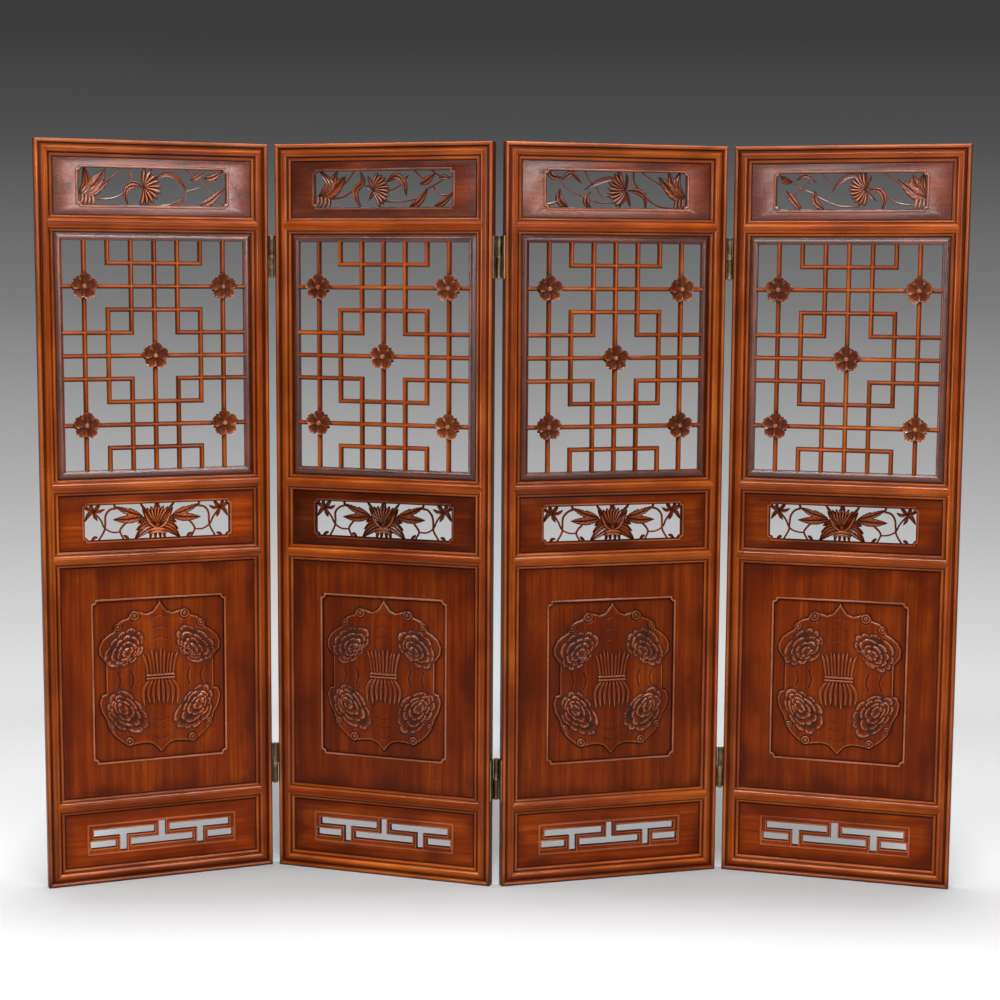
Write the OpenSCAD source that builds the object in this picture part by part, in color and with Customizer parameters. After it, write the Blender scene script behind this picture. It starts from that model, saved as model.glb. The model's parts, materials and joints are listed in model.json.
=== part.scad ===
// Carved four-panel folding screen, standing in a zigzag. Millimetres, +Z up.
// Each panel is drawn in its own frame: X from its left edge, Y from its front face, Z from the floor.

/* [Panels] */
// Height of each panel
panel_h = 1800; // [1700:10:2000]
// Width of each panel
panel_w = 560; // [530:5:620]
// Thickness of the stiles and rails
frame_t = 28; // [26:1:36]
// Face width of the stiles and of the top and bottom rails
frame_w = 43; // [40:1:50]
// Face height of the four middle rails
rail_h = 43; // [38:1:50]

/* [Fields between the rails] */
// Height of the field that holds the top carved board
top_field_h = 132; // [125:1:150]
// Height of the field that holds the middle carved board
mid_field_h = 131; // [125:1:150]
// Height of the field that holds the relief board
relief_field_h = 564; // [540:1:600]
// Height of the field that holds the key fret board
fret_field_h = 131; // [120:1:150]

/* [Stance] */
// Turn of panel 1 seen from above
turn_1 = 22.1; // [15:0.1:30]
// Turn of panel 2 seen from above
turn_2 = -18.0; // [-30:0.1:-15]
// Turn of panel 3 seen from above
turn_3 = 16.0; // [12:0.1:30]
// Turn of panel 4 seen from above
turn_4 = -16.3; // [-30:0.1:-12]

/* [Mouldings] */
// Width of the round bead along each outer edge
edge_bead = 7.5; // [5:0.5:9]
// Width of the quirk between the edge bead and the main bead
quirk_w = 5.5; // [3:0.5:7]
// Height of every main bead above the quirk
bead_rise = 5; // [3:0.5:6]
// Width of the sloping lip of a stile
lip_w = 9; // [6:0.5:10]
// Width of the sloping lips of a middle rail
rail_lip_w = 7; // [5:0.5:9]
// Width of the narrow step between a lip and its board
step_w = 2; // [1:0.5:3]
// Drop from the foot of a lip to the step
step_drop = 1.6; // [1:0.2:2.4]
// Thickness of the wood left between the front and the back step
web_t = 8.8; // [8.4:0.2:9.6]

/* [Frame joints] */
// Thickness of every tenon
tenon_t = 8; // [6:0.5:8.5]
// Height of the middle rails' tenons
tenon_h = 20; // [16:1:22]
// Height of the corner tenons
corner_tenon_h = 16; // [10:1:18]
// Wood between a tenon's end and the outer edge of the stile
tenon_margin = 12; // [11:1:16]
// Gap round a tenon in its mortise
mortise_gap = 0.2; // [0.1:0.05:0.4]
// Gap at the mitres and at the rails' pointed ends
mitre_gap = 0.1; // [0.05:0.05:0.3]
// Gap at the end of a tenon or tongue
end_gap = 0.8; // [0.5:0.1:1]
// Thickness of the tongue round every board
tongue_t = 6; // [4:0.5:6.5]
// Reach of the tongue into the frame
tongue_l = 8; // [6:0.5:9]
// Gap on each side of the tongue
tongue_gap = 0.2; // [0.1:0.05:0.4]

/* [Boards] */
// Thickness of every carved board
board_t = 12; // [10:0.5:14]
// Gap left round a board so that it can swell
board_gap = 0.5; // [0.3:0.1:1]
// Thickness of the carved leaves and stems
carving_t = 9; // [6:0.5:11]
// Width of a vine
vine_w = 4; // [3:0.5:6]
// Width of the raised moulding round an opening
rim_w = 6; // [4:0.5:8]
// Height of that moulding above the board
rim_rise = 1.5; // [1:0.5:2.5]
// Width of the carved boards' openings
opening_w = 357; // [340:1:370]
// Height of the carved boards' openings
opening_h = 88; // [80:1:94]
// Corner radius of the openings
opening_r = 8; // [4:1:12]

/* [Lattice] */
// Face width of the lattice's own frame
lattice_frame_w = 18; // [14:1:22]
// Width of the step along both edges of the lattice's own frame
ring_step = 4; // [2:0.5:6]
// Depth of the lattice's own frame
lattice_frame_t = 16; // [13:0.5:20]
// Distance from the lattice's outer columns to its own frame
side_cell_w = 51; // [45:1:60]
// Distance from the lattice's outer rows to its own frame
end_cell_h = 53.2; // [45:0.2:60]
// Width of a lattice bar
bar_w = 9.5; // [7:0.5:12]
// Depth of a lattice bar
bar_t = 15; // [12:0.5:18]
// Width of the raised bead along a lattice bar
bar_bead_w = 6.5; // [4:0.5:6.5]
// Height of that bead
bar_bead_rise = 2; // [1:0.5:3]

/* [Flowers] */
// Radius of a petal
petal_r = 15; // [12:0.5:18]
// Distance from a flower's middle to the middle of its petals
petal_reach = 18; // [15:0.5:20]
// Thickness of a flower
flower_t = 13; // [11:0.5:15]
// How far a flower's face lies behind the front of the frame
flower_inset = 2; // [1:0.5:3]
// Depth of the hollow in a petal
petal_hollow = 2.5; // [1:0.25:3]
// Radius of the hollowing cut
hollow_r = 20; // [16:1:26]
// Radius of a flower's middle button
button_r = 6; // [4:0.5:8]
// Gap between a flower and the bars that it is let over
lap_gap = 0.1; // [0.05:0.05:0.3]

/* [Relief] */
// Width of the sunk field on the relief board
sunk_w = 325; // [310:1:345]
// Height of the sunk field on the relief board
sunk_h = 400; // [390:1:430]
// Depth of the sunk field
sunk_depth = 4.5; // [3:0.5:5]
// Radius cut from each corner of the sunk field
sunk_corner = 10; // [6:1:14]
// Width of the bead round the sunk field
border_w = 4; // [2:0.5:6]
// Height of each layer of petals on the plaque
layer_rise = 1.5; // [0.5:0.25:1.75]
// Width of the tied bundle at its band
bundle_w = 64; // [56:1:72]
// How far the bundle spreads on each side towards its ends
bundle_spread = 11; // [4:1:14]
// Height of the bundle above its band
bundle_top = 54; // [44:1:60]
// Length of the bundle below its band
bundle_foot = 72; // [60:1:76]
// Height of the band that ties the bundle
band_h = 8; // [6:1:12]
// How far the band stands out on each side of the bundle
band_out = 2; // [1:0.5:4]
// Height of the band's middle above the middle of the plaque
band_z = 6; // [0:1:10]

/* [Key fret] */
// Height of the fret's straight slots
slot_h = 18; // [14:1:20]
// Length of the two upper slots
upper_slot = 150; // [130:1:156]
// Distance from the middle to each upper slot's stem
stem_x = 96; // [90:1:100]
// Width of the slots' stems
stem_slot_w = 17; // [14:1:18]
// Length of the two short slots at the ends
short_slot = 62; // [50:1:64]
// Width of the wood between neighbouring slots
fret_bar = 10; // [7:0.5:12]
// Width of the moulded frame of the fret
fret_w = 361; // [355:1:370]
// Height of the moulded frame of the fret
fret_h = 69; // [66:1:76]

/* [Hinges] */
// Length of a hinge
hinge_h = 100; // [80:2:120]
// Height of the lower hinges' middle above the floor
low_hinge_z = 264; // [235:1:330]
// Height of the upper hinges' middle above the floor
high_hinge_z = 1530; // [1400:1:1530]
// Gap between two panels standing in line
fold_gap = 15; // [15:0.5:18]
// How far each hinge axis stands out from the panels' faces
axis_out = 1.5; // [1:0.25:3]
// Radius of the knuckles
knuckle_r = 6.5; // [5.5:0.25:6.5]
// Radius of the hinge pins
pin_r = 3.5; // [3:0.25:4]
// Gap round a pin in the knuckle that turns on it
pin_gap = 0.05; // [0.03:0.01:0.1]
// Gap round a pin in the knuckle that holds it
fixed_pin_gap = 0.02; // [0.01:0.01:0.03]
// Thickness of a leaf
leaf_t = 2.5; // [2:0.25:3]
// Gap between a leaf's plate and the other panel's knuckle
leaf_gap = 0.5; // [0.4:0.1:1]
// Distance from a leaf's far edge to the panel's other face
leaf_margin = 4; // [3.75:0.25:6]
// Radius of the collar washer between the knuckles
washer_r = 7; // [6.5:0.25:7]
// Thickness of the collar washer
washer_t = 2; // [1:0.5:3]
// Gap between the washer and the knuckle that turns above it
lift_gap = 0.1; // [0.05:0.05:0.3]
// Height of the tapered cap at the foot of each pin
cap_h = 2.5; // [1.5:0.5:4]

/* [Screws] */
// Radius of a screw's shank
shank_r = 1.75; // [1.5:0.25:2]
// Radius of a screw's head
head_r = 3.5; // [3:0.25:4]
// Height of a screw's countersunk head
head_h = 2; // [1.25:0.25:2]
// Length of a screw
screw_l = 18; // [12:1:20]
// Distance between neighbouring screws
screw_pitch = 38; // [25:1:40]
// Width and depth of the slot in a screw's head
slot_cut = 0.8; // [0.5:0.1:1]
// Sideways stagger of the middle screw
screw_stagger = 7; // [0:0.5:8]
// Gap round a screw
screw_gap = 0.05; // [0.03:0.01:0.1]

/* [Hidden] */
$fn = 64;
WOOD = "#7d3814";
WOOD_DARK = "#6b2c0e";
BRASS = "#6d5843";

// Widths and depths that follow from the sizes above
edge_r = edge_bead / 2;
bead_edge = frame_w - step_w - lip_w;
main_bead = bead_edge - edge_bead - quirk_w;
crest_x = edge_bead + quirk_w + main_bead / 2;
step_d = (frame_t - web_t) / 2;
lip_low = step_d - step_drop;
mid_y = frame_t / 2;
board_y = mid_y - board_t / 2;
rim_y = board_y - rim_rise;
inner_w = panel_w - 2 * frame_w;
mid_x = panel_w / 2;
over = 1;

// Heights of the fields and of the four middle rails, from the floor
fret_z = frame_w;
low_rail_z = fret_z + fret_field_h;
relief_z = low_rail_z + rail_h;
waist_rail_z = relief_z + relief_field_h;
mid_z = waist_rail_z + rail_h;
chest_rail_z = mid_z + mid_field_h;
lattice_z = chest_rail_z + rail_h;
top_z = panel_h - frame_w - top_field_h;
high_rail_z = top_z - rail_h;
lattice_field_h = high_rail_z - lattice_z;
RAIL_Z = [low_rail_z, waist_rail_z, chest_rail_z, high_rail_z];

// Lattice and flowers, measured from the middle of the lattice's field
lattice_half_w = inner_w / 2 - lattice_frame_w;
lattice_half_h = lattice_field_h / 2 - lattice_frame_w;
lattice_mid_z = lattice_z + lattice_field_h / 2;
outer_column = 3;
outer_row = 4;
flower_row = 3;
column_pitch = (lattice_half_w - side_cell_w) / outer_column;
row_pitch = (lattice_half_h - end_cell_h) / outer_row;
bar_y = mid_y - bar_t / 2;
FLOWER_CELLS = [
    [0, 0], [-outer_column, -flower_row], [outer_column, -flower_row],
    [-outer_column, flower_row], [outer_column, flower_row]
];

// Peonies, measured from the middle of the sunk field
PEONY_AT = [[-80, -76], [80, -76], [-80, 88], [80, 88]];

// Hinges
HINGE_Z = [low_hinge_z, high_hinge_z];
leaf_y = knuckle_r + leaf_gap;
leaf_end_y = axis_out + frame_t - leaf_margin;
knuckle_l = (hinge_h - washer_t) / 2;
screw_y = (leaf_y + leaf_end_y) / 2;

// Stance: the panels' turns, the fold axes and where each panel's own frame lies
TURN = [turn_1, turn_2, turn_3, turn_4];
front_y = -axis_out;
back_y = frame_t + axis_out;
FOLD_Y = [front_y, back_y, front_y];
function turned(p, a) = [p.x * cos(a) - p.y * sin(a), p.x * sin(a) + p.y * cos(a)];
function fold_at(k, base) = base + turned([panel_w + fold_gap / 2, FOLD_Y[k]], TURN[k]);
function next_base(k, base) = fold_at(k, base) - turned([-fold_gap / 2, FOLD_Y[k]], TURN[k + 1]);
base_1 = [0, 0];
base_2 = next_base(0, base_1);
base_3 = next_base(1, base_2);
base_4 = next_base(2, base_3);
BASE = [base_1, base_2, base_3, base_4];
CORNERS = [for (k = [0:3], x = [edge_r, panel_w - edge_r], y = [edge_r, frame_t - edge_r])
    BASE[k] + turned([x, y], TURN[k])];
min_x = min([for (c = CORNERS) c.x]) - edge_r;
max_x = max([for (c = CORNERS) c.x]) + edge_r;
min_y = min([for (c = CORNERS) c.y]) - edge_r;
max_y = max([for (c = CORNERS) c.y]) + edge_r;
centre = [(min_x + max_x) / 2, (min_y + max_y) / 2];

for (f = [0:2]) echo("fold axis", f + 1, (fold_at(f, BASE[f]) - centre) / 1000);

// Places a panel's own frame in the standing screen
module on_panel(k) {
    at = BASE[k - 1] - centre;
    translate([at.x, at.y, 0])
        rotate([0, 0, TURN[k - 1]])
            children();
}

// Draws a shape once as it is and once mirrored across the middle of the panel's width
module both_sides() {
    children();
    translate([panel_w, 0, 0])
        mirror([1, 0, 0])
            children();
}

// Extrudes a face drawing, X and Z, from depth y0 back to depth y1
module slab(y0, y1) {
    translate([0, y1, 0])
        rotate([90, 0, 0])
            linear_extrude(y1 - y0)
                children();
}

// A box between two corners
module box(low, high) {
    translate(low)
        cube(high - low);
}

// Mouldings

module bead_segment(w) {
    r = (w * w / 4 + bead_rise * bead_rise) / (2 * bead_rise);
    intersection() {
        translate([w / 2, r])
            circle(r);
        square([w, bead_rise + over / 2]);
    }
}

module front_and_back() {
    children();
    translate([0, frame_t])
        mirror([0, 1])
            children();
}

// Section of a stile or outer rail: X across from the outer edge, Y from the front
module frame_section() {
    front_and_back() {
        translate([edge_r, edge_r])
            circle(edge_r);
        translate([edge_bead + quirk_w, 0])
            bead_segment(main_bead);
        polygon([
            [bead_edge - over, bead_rise], [bead_edge, bead_rise],
            [frame_w - step_w, lip_low], [frame_w - step_w, mid_y], [bead_edge - over, mid_y]
        ]);
    }
    translate([0, edge_r])
        square([edge_bead, frame_t - edge_bead]);
    translate([edge_r, bead_rise])
        square([bead_edge - edge_r, frame_t - 2 * bead_rise]);
    translate([edge_r, step_d])
        square([frame_w - edge_r, web_t]);
}

// Section of a middle rail: X up from its lower edge, Y from the front
module rail_section() {
    foot = step_w + rail_lip_w;
    front_and_back() {
        translate([foot, 0])
            bead_segment(rail_h - 2 * foot);
        polygon([
            [step_w, mid_y], [step_w, lip_low], [foot, bead_rise],
            [rail_h - foot, bead_rise], [rail_h - step_w, lip_low], [rail_h - step_w, mid_y]
        ]);
    }
    translate([0, step_d])
        square([rail_h, web_t]);
}

// Lays a section along X, its own X upward
module along_x(length) {
    rotate([90, 0, 90])
        linear_extrude(length)
            mirror([1, -1, 0])
                children();
}

// Frame

// Face outline of a middle rail's left end, from its lower edge, widened by gap
function rail_end(gap) = let (foot = step_w + rail_lip_w) [
    [frame_w + over, -gap], [frame_w, -gap], [frame_w - step_w, step_w - gap],
    [bead_edge, foot - gap], [crest_x - gap, rail_h / 2], [bead_edge, rail_h - foot + gap],
    [frame_w - step_w, rail_h - step_w + gap], [frame_w, rail_h + gap],
    [frame_w + over, rail_h + gap]
];

// Tenon of a middle rail in the left stile, or its mortise when gap and end are given
module rail_tenon(z, gap, end) {
    box([tenon_margin - end, mid_y - tenon_t / 2 - gap, z + (rail_h - tenon_h) / 2 - gap],
        [bead_edge + step_w, mid_y + tenon_t / 2 + gap, z + (rail_h + tenon_h) / 2 + gap]);
}

// Tenon of the bottom rail in the left stile, or its mortise when gap and end are given
module corner_tenon(gap, end) {
    groove_end = frame_w - tongue_l - end_gap;
    box([tenon_margin - end, mid_y - tenon_t / 2 - gap, groove_end - corner_tenon_h - gap],
        [groove_end, mid_y + tenon_t / 2 + gap, groove_end + gap]);
}

// Turns a piece drawn at the bottom of the panel over to the top
module at_top() {
    translate([0, 0, panel_h])
        mirror([0, 0, 1])
            children();
}

groove_t = tongue_t + 2 * tongue_gap;
groove_l = tongue_l + end_gap;

// Left stile without its screw holes
module stile_body() {
    difference() {
        intersection() {
            linear_extrude(panel_h)
                frame_section();
            slab(-over, frame_t + over)
                polygon([
                    [-over, mitre_gap - over], [frame_w + over, frame_w + mitre_gap + over],
                    [frame_w + over, panel_h - frame_w - mitre_gap - over],
                    [-over, panel_h - mitre_gap + over]
                ]);
        }
        box([frame_w - groove_l, mid_y - groove_t / 2, frame_w - groove_l],
            [frame_w + over, mid_y + groove_t / 2, panel_h - frame_w + groove_l]);
        for (z = RAIL_Z) {
            translate([0, 0, z])
                slab(-over, frame_t + over)
                    polygon(rail_end(mitre_gap));
            rail_tenon(z, mortise_gap, end_gap);
        }
        corner_tenon(mortise_gap, end_gap);
        at_top()
            corner_tenon(mortise_gap, end_gap);
    }
}

// Screw axes on the edge that carries hinges: from the panel's face on the axis side
module screw_places() {
    for (z = HINGE_Z, i = [-1:1])
        translate([0, screw_y + (abs(i) - 0.5) * screw_stagger, z + i * screw_pitch])
            children();
}

// Puts a hinge part, drawn from its fold axis with the panel on its right, at the panel's left edge
module at_left_edge(fold) {
    if (fold == 2)
        translate([-fold_gap / 2, back_y, 0])
            mirror([0, 1, 0])
                children();
    else
        translate([-fold_gap / 2, front_y, 0])
            children();
}

// The same at the panel's right edge
module at_right_edge(fold) {
    translate([panel_w, 0, 0])
        mirror([1, 0, 0])
            at_left_edge(fold)
                children();
}

module pilot_holes() {
    screw_places()
        translate([fold_gap / 2 - over, 0, 0])
            rotate([0, 90, 0])
                cylinder(r = shank_r + screw_gap, h = screw_l - leaf_t + over + screw_gap);
}

module left_stile(k) {
    color(WOOD)
        on_panel(k)
            difference() {
                stile_body();
                if (k > 1)
                    at_left_edge(k - 1)
                        pilot_holes();
            }
}

module right_stile(k) {
    color(WOOD)
        on_panel(k)
            difference() {
                translate([panel_w, 0, 0])
                    mirror([1, 0, 0])
                        stile_body();
                if (k < 4)
                    at_right_edge(k)
                        pilot_holes();
            }
}

// Rail at the floor, mitred into both stiles
module outer_rail() {
    difference() {
        intersection() {
            along_x(panel_w)
                frame_section();
            slab(-over, frame_t + over)
                polygon([
                    [-over, -over], [panel_w + over, -over],
                    [panel_w - frame_w - over, frame_w + over], [frame_w + over, frame_w + over]
                ]);
        }
        box([frame_w - groove_l, mid_y - groove_t / 2, frame_w - groove_l],
            [panel_w - frame_w + groove_l, mid_y + groove_t / 2, frame_w + over]);
    }
    both_sides()
        corner_tenon(0, 0);
}

module top_rail(k) {
    color(WOOD)
        on_panel(k)
            at_top()
                outer_rail();
}

module bottom_rail(k) {
    color(WOOD)
        on_panel(k)
            outer_rail();
}

// One middle rail at height z, with a point and a tenon at each end
module middle_rail(z) {
    difference() {
        intersection() {
            translate([0, 0, z])
                along_x(panel_w)
                    rail_section();
            translate([0, 0, z])
                slab(-over, frame_t + over)
                    union() {
                        both_sides()
                            polygon(rail_end(0));
                        translate([frame_w, 0])
                            square([inner_w, rail_h]);
                    }
        }
        for (edge = [z - over, z + rail_h - groove_l])
            box([0, mid_y - groove_t / 2, edge], [panel_w, mid_y + groove_t / 2, edge + groove_l + over]);
    }
    both_sides()
        rail_tenon(z, 0, 0);
}

module middle_rails(k) {
    color(WOOD)
        on_panel(k)
            for (z = RAIL_Z)
                middle_rail(z);
}

// Boards

// Rectangle about the middle of the panel's width: full width, lower and upper height
module centred(w, z0, z1) {
    translate([mid_x - w / 2, z0])
        square([w, z1 - z0]);
}

// Rectangle with round corners about the middle of the panel's width and height zc
module rounded(w, h, r, zc) {
    centred(w, zc - h / 2 + r, zc + h / 2 - r);
    centred(w - 2 * r, zc - h / 2, zc + h / 2);
    for (x = [-1, 1], z = [-1, 1])
        translate([mid_x + x * (w / 2 - r), zc + z * (h / 2 - r)])
            circle(r);
}

// Board with its tongue, filling the field from z up
module blank(z, h) {
    slab(board_y, board_y + board_t)
        centred(inner_w - 2 * board_gap, z + board_gap, z + h - board_gap);
    slab(mid_y - tongue_t / 2, mid_y + tongue_t / 2)
        centred(inner_w + 2 * tongue_l, z - tongue_l, z + h + tongue_l);
}

// Board with a moulded opening. Its child is the carving, drawn from the opening's middle
module pierced_board(z, h) {
    zc = z + h / 2;
    difference() {
        union() {
            blank(z, h);
            slab(rim_y, frame_t - rim_y)
                rounded(opening_w + 2 * rim_w, opening_h + 2 * rim_w, opening_r + rim_w, zc);
        }
        slab(-over, frame_t + over)
            rounded(opening_w, opening_h, opening_r, zc);
    }
    slab(mid_y - carving_t / 2, mid_y + carving_t / 2)
        intersection() {
            rounded(opening_w + rim_w, opening_h + rim_w, opening_r, zc);
            translate([mid_x, zc])
                children();
        }
}

// Leaf between two points, w wide at its middle
module leaf(p, q, w) {
    d = q - p;
    l = norm(d);
    r = (l * l / 4 + w * w / 4) / w;
    translate((p + q) / 2)
        rotate(atan2(d.y, d.x))
            intersection() {
                translate([0, r - w / 2])
                    circle(r);
                translate([0, w / 2 - r])
                    circle(r);
            }
}

// Vine from p to q, bowed to its left by bow, with round ends
module vine(p, q, bow) {
    d = q - p;
    l = norm(d);
    r = (l * l / 4 + bow * bow) / (2 * abs(bow));
    translate((p + q) / 2)
        rotate(atan2(d.y, d.x))
            mirror([0, bow < 0 ? 1 : 0])
                intersection() {
                    translate([0, abs(bow) - r])
                        difference() {
                            circle(r + vine_w / 2);
                            circle(r - vine_w / 2);
                        }
                    translate([-l / 2, -vine_w])
                        square([l, abs(bow) + 2 * vine_w]);
                }
    for (end = [p, q])
        translate(end)
            circle(vine_w / 2);
}

// Petals fanned from one round heart, one leaf at each step
module fan(at, from, to, count, reach, w) {
    translate(at)
        circle(w / 2);
    for (i = [0:count - 1]) {
        a = from + (to - from) * i / (count - 1);
        leaf(at, at + reach * [cos(a), sin(a)], w);
    }
}

// Lotus spray of the top boards, from the opening's middle
module lotus_spray() {
    edge = opening_w / 2;
    top = opening_h / 2;
    heart = [-22, 0];
    root = [-edge + 8, -20];
    fan(heart, -100, 95, 10, 42, 11);
    fan(root, 14, 86, 4, 66, 24);
    fan(root, -100, -20, 4, 34, 11);
    leaf([-28, 4], [-66, 2], 10);
    leaf([-62, 6], [-60, -top - 2], 13);
    leaf([0, 22], [52, 25], 8);
    leaf([42, 27], [82, -4], 11);
    leaf([66, -12], [70, -top - 3], 9);
    leaf([92, 18], [124, 38], 10);
    leaf([124, 20], [172, 34], 12);
    leaf([108, -top - 2], [172, 2], 14);
    vine([-104, 18], [-74, top + 2], -6);
    vine([-138, -26], [-40, -2], -12);
    vine([-62, top + 2], [-60, 4], 9);
    vine([-30, 20], [-26, top + 2], 2);
    vine([80, -2], [66, -18], 3);
    vine([68, -38], [6, -top + 1], 5);
    vine([84, top + 2], [150, -28], 3);
    vine([110, 26], [128, 24], -2);
    vine([150, -28], [edge + 2, -top + 4], 3);
    vine([168, 30], [edge + 2, top - 2], 2);
    vine([164, -2], [edge + 2, 6], -2);
}

module top_carved_board(k) {
    color(WOOD_DARK)
        on_panel(k)
            pierced_board(top_z, top_field_h)
                mirror([k > 2 ? 1 : 0, 0])
                    lotus_spray();
}

// Lotus and scrolls of the middle boards: the half on the right of the opening's middle
module lotus_half() {
    edge = opening_w / 2;
    top = opening_h / 2;
    leaf([5, -14], [15, top - 9], 12);
    leaf([7, -14], [34, 32], 14);
    leaf([8, -16], [50, 8], 12);
    leaf([7, -18], [58, -14], 13);
    leaf([6, -20], [58, -36], 14);
    leaf([5, -24], [34, -top - 1], 14);
    leaf([20, 26], [36, top + 2], 6);
    leaf([32, 4], [86, 28], 15);
    leaf([34, 2], [98, -4], 15);
    vine([82, 26], [108, 10], 12);
    vine([108, 10], [128, -26], -8);
    vine([128, -26], [144, -top - 2], -3);
    vine([128, -26], [90, -34], 9);
    vine([90, -34], [70, -12], -7);
    vine([90, -34], [72, -top - 2], 2);
    vine([88, 28], [92, top + 2], 1);
    vine([128, -26], [154, 18], -4);
    fan([154, 18], -60, 160, 5, 26, 9);
    leaf([150, 22], [edge + 2, top - 4], 10);
}

module lotus_scroll() {
    heart = [0, -20];
    lotus_half();
    mirror([1, 0])
        lotus_half();
    leaf(heart, [0, opening_h / 2 - 2], 16);
    translate(heart)
        circle(12);
    translate([-18, -opening_h / 2 - 2])
        square([36, 16]);
}

module middle_carved_board(k) {
    color(WOOD_DARK)
        on_panel(k)
            pierced_board(mid_z, mid_field_h)
                lotus_scroll();
}

// Lattice

// One straight piece of the grid between two cells' corners, given in columns and rows
module grid_bar(c0, r0, c1, r1, w) {
    low = [max(c0 * column_pitch - w / 2, -lattice_half_w - over),
           max(r0 * row_pitch - w / 2, -lattice_half_h - over)];
    high = [min(c1 * column_pitch + w / 2, lattice_half_w + over),
            min(r1 * row_pitch + w / 2, lattice_half_h + over)];
    translate(low)
        square(high - low);
}

// The grid of bars of width w. Cells past the last row or column run on into the lattice's frame
module grid(w) {
    past = outer_row + 2;
    grid_bar(0, -past, 0, past, w);
    grid_bar(-past, 0, past, 0, w);
    for (s = [-1, 1]) {
        grid_bar(outer_column * s, -past, outer_column * s, past, w);
        grid_bar(-past, flower_row * s, past, flower_row * s, w);
        grid_bar(2 * s, -2, 2 * s, 2, w);
        grid_bar(-2, 2 * s, 2, 2 * s, w);
        grid_bar(-2, outer_row * s, 2, outer_row * s, w);
        grid_bar(s, 1, s, past, w);
        grid_bar(s, -past, s, -1, w);
        grid_bar(2 * s, outer_row, 2 * s, past, w);
        grid_bar(2 * s, -past, 2 * s, -outer_row, w);
        grid_bar(1, s, past, s, w);
        grid_bar(-past, s, -1, s, w);
    }
}

// Ring of the lattice's own frame, inset from the field's edge and from its own inner edge
module lattice_ring(outer, inner) {
    difference() {
        centred(inner_w - 2 * outer, lattice_z + outer, lattice_z + lattice_field_h - outer);
        centred(2 * (lattice_half_w + inner), lattice_mid_z - lattice_half_h - inner,
                lattice_mid_z + lattice_half_h + inner);
    }
}

// The whole grid at its own depth, each bar widened and brought forward by gap
module grid_solid(gap) {
    translate([mid_x, 0, lattice_mid_z]) {
        slab(bar_y + bar_bead_rise - gap, frame_t - bar_y - bar_bead_rise + gap)
            grid(bar_w + 2 * gap);
        slab(bar_y - gap, frame_t - bar_y + gap)
            grid(bar_bead_w + 2 * gap);
    }
}

module lattice(k) {
    ring_y = mid_y - lattice_frame_t / 2;
    color(WOOD_DARK)
        on_panel(k) {
            grid_solid(0);
            slab(ring_y + bar_bead_rise, frame_t - ring_y - bar_bead_rise)
                lattice_ring(board_gap, 0);
            slab(ring_y, frame_t - ring_y)
                lattice_ring(ring_step, ring_step);
            slab(mid_y - tongue_t / 2, mid_y + tongue_t / 2)
                lattice_ring(-tongue_l, lattice_frame_w / 2);
        }
}

// One plum flower, its middle at the origin of the face drawing
module flower() {
    difference() {
        slab(flower_inset, flower_inset + flower_t)
            union() {
                for (i = [0:4])
                    rotate(90 + 72 * i)
                        translate([petal_reach, 0])
                            circle(petal_r);
                circle(petal_reach);
            }
        for (i = [0:4])
            rotate([0, 90 + 72 * i, 0])
                translate([-petal_reach, flower_inset + petal_hollow - hollow_r, 0])
                    sphere(hollow_r);
    }
    translate([0, flower_inset + button_r - over, 0])
        sphere(button_r);
}

module flowers(k) {
    color(WOOD)
        on_panel(k)
            difference() {
                for (cell = FLOWER_CELLS)
                    translate([mid_x + cell.x * column_pitch, 0, lattice_mid_z + cell.y * row_pitch])
                        flower();
                grid_solid(lap_gap);
            }
}

// Relief board

// The sunk field's outline, grown by g, its corners cut in
module sunk_outline(g) {
    zc = relief_z + relief_field_h / 2;
    difference() {
        centred(sunk_w + 2 * g, zc - sunk_h / 2 - g, zc + sunk_h / 2 + g);
        for (x = [-1, 1], z = [-1, 1])
            translate([mid_x + x * (sunk_w / 2 + g), zc + z * (sunk_h / 2 + g)])
                circle(sunk_corner);
    }
}

// Right half of the lobed plaque, from the sunk field's middle
module plaque_half() {
    polygon([[-over, -178], [0, -190], [10, -172], [26, -161], [74, -162], [74, 156],
             [34, 160], [12, 172], [0, 194], [-over, 182]]);
    for (lobe = [[74, -128, 36], [90, -66, 60], [90, 70, 60], [70, 128, 36]])
        translate([lobe[0], lobe[1]])
            circle(lobe[2]);
    translate([0, -60])
        square([132, 120]);
}

module plaque() {
    translate([mid_x, relief_z + relief_field_h / 2]) {
        plaque_half();
        mirror([1, 0])
            plaque_half();
    }
}

// One ring of round petals
module rosette(count, reach, r) {
    for (i = [0:count - 1])
        rotate(360 * i / count)
            translate([reach, 0])
                circle(r);
    circle(reach);
}

// Layered peony raised on the plaque
module peony(at) {
    translate([mid_x + at.x, 0, relief_z + relief_field_h / 2 + at.y]) {
        slab(board_y - layer_rise, mid_y)
            rosette(9, 34, 11);
        slab(board_y - 2 * layer_rise, mid_y)
            rosette(7, 22, 9);
        slab(board_y - 3 * layer_rise, mid_y)
            rosette(5, 10, 6);
    }
}

// Tied bundle at the middle of the plaque, narrowest at its band
module bundle() {
    half = bundle_w / 2;
    spread = half + bundle_spread;
    translate([mid_x, 0, relief_z + relief_field_h / 2 + band_z]) {
        slab(board_y - layer_rise, mid_y)
            polygon([
                [-spread, -bundle_foot], [spread, -bundle_foot], [half, 0],
                [spread, bundle_top], [-spread, bundle_top], [-half, 0]
            ]);
        slab(board_y - 2 * layer_rise, mid_y)
            translate([-half - band_out, -band_h / 2])
                square([2 * (half + band_out), band_h]);
    }
}

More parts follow.
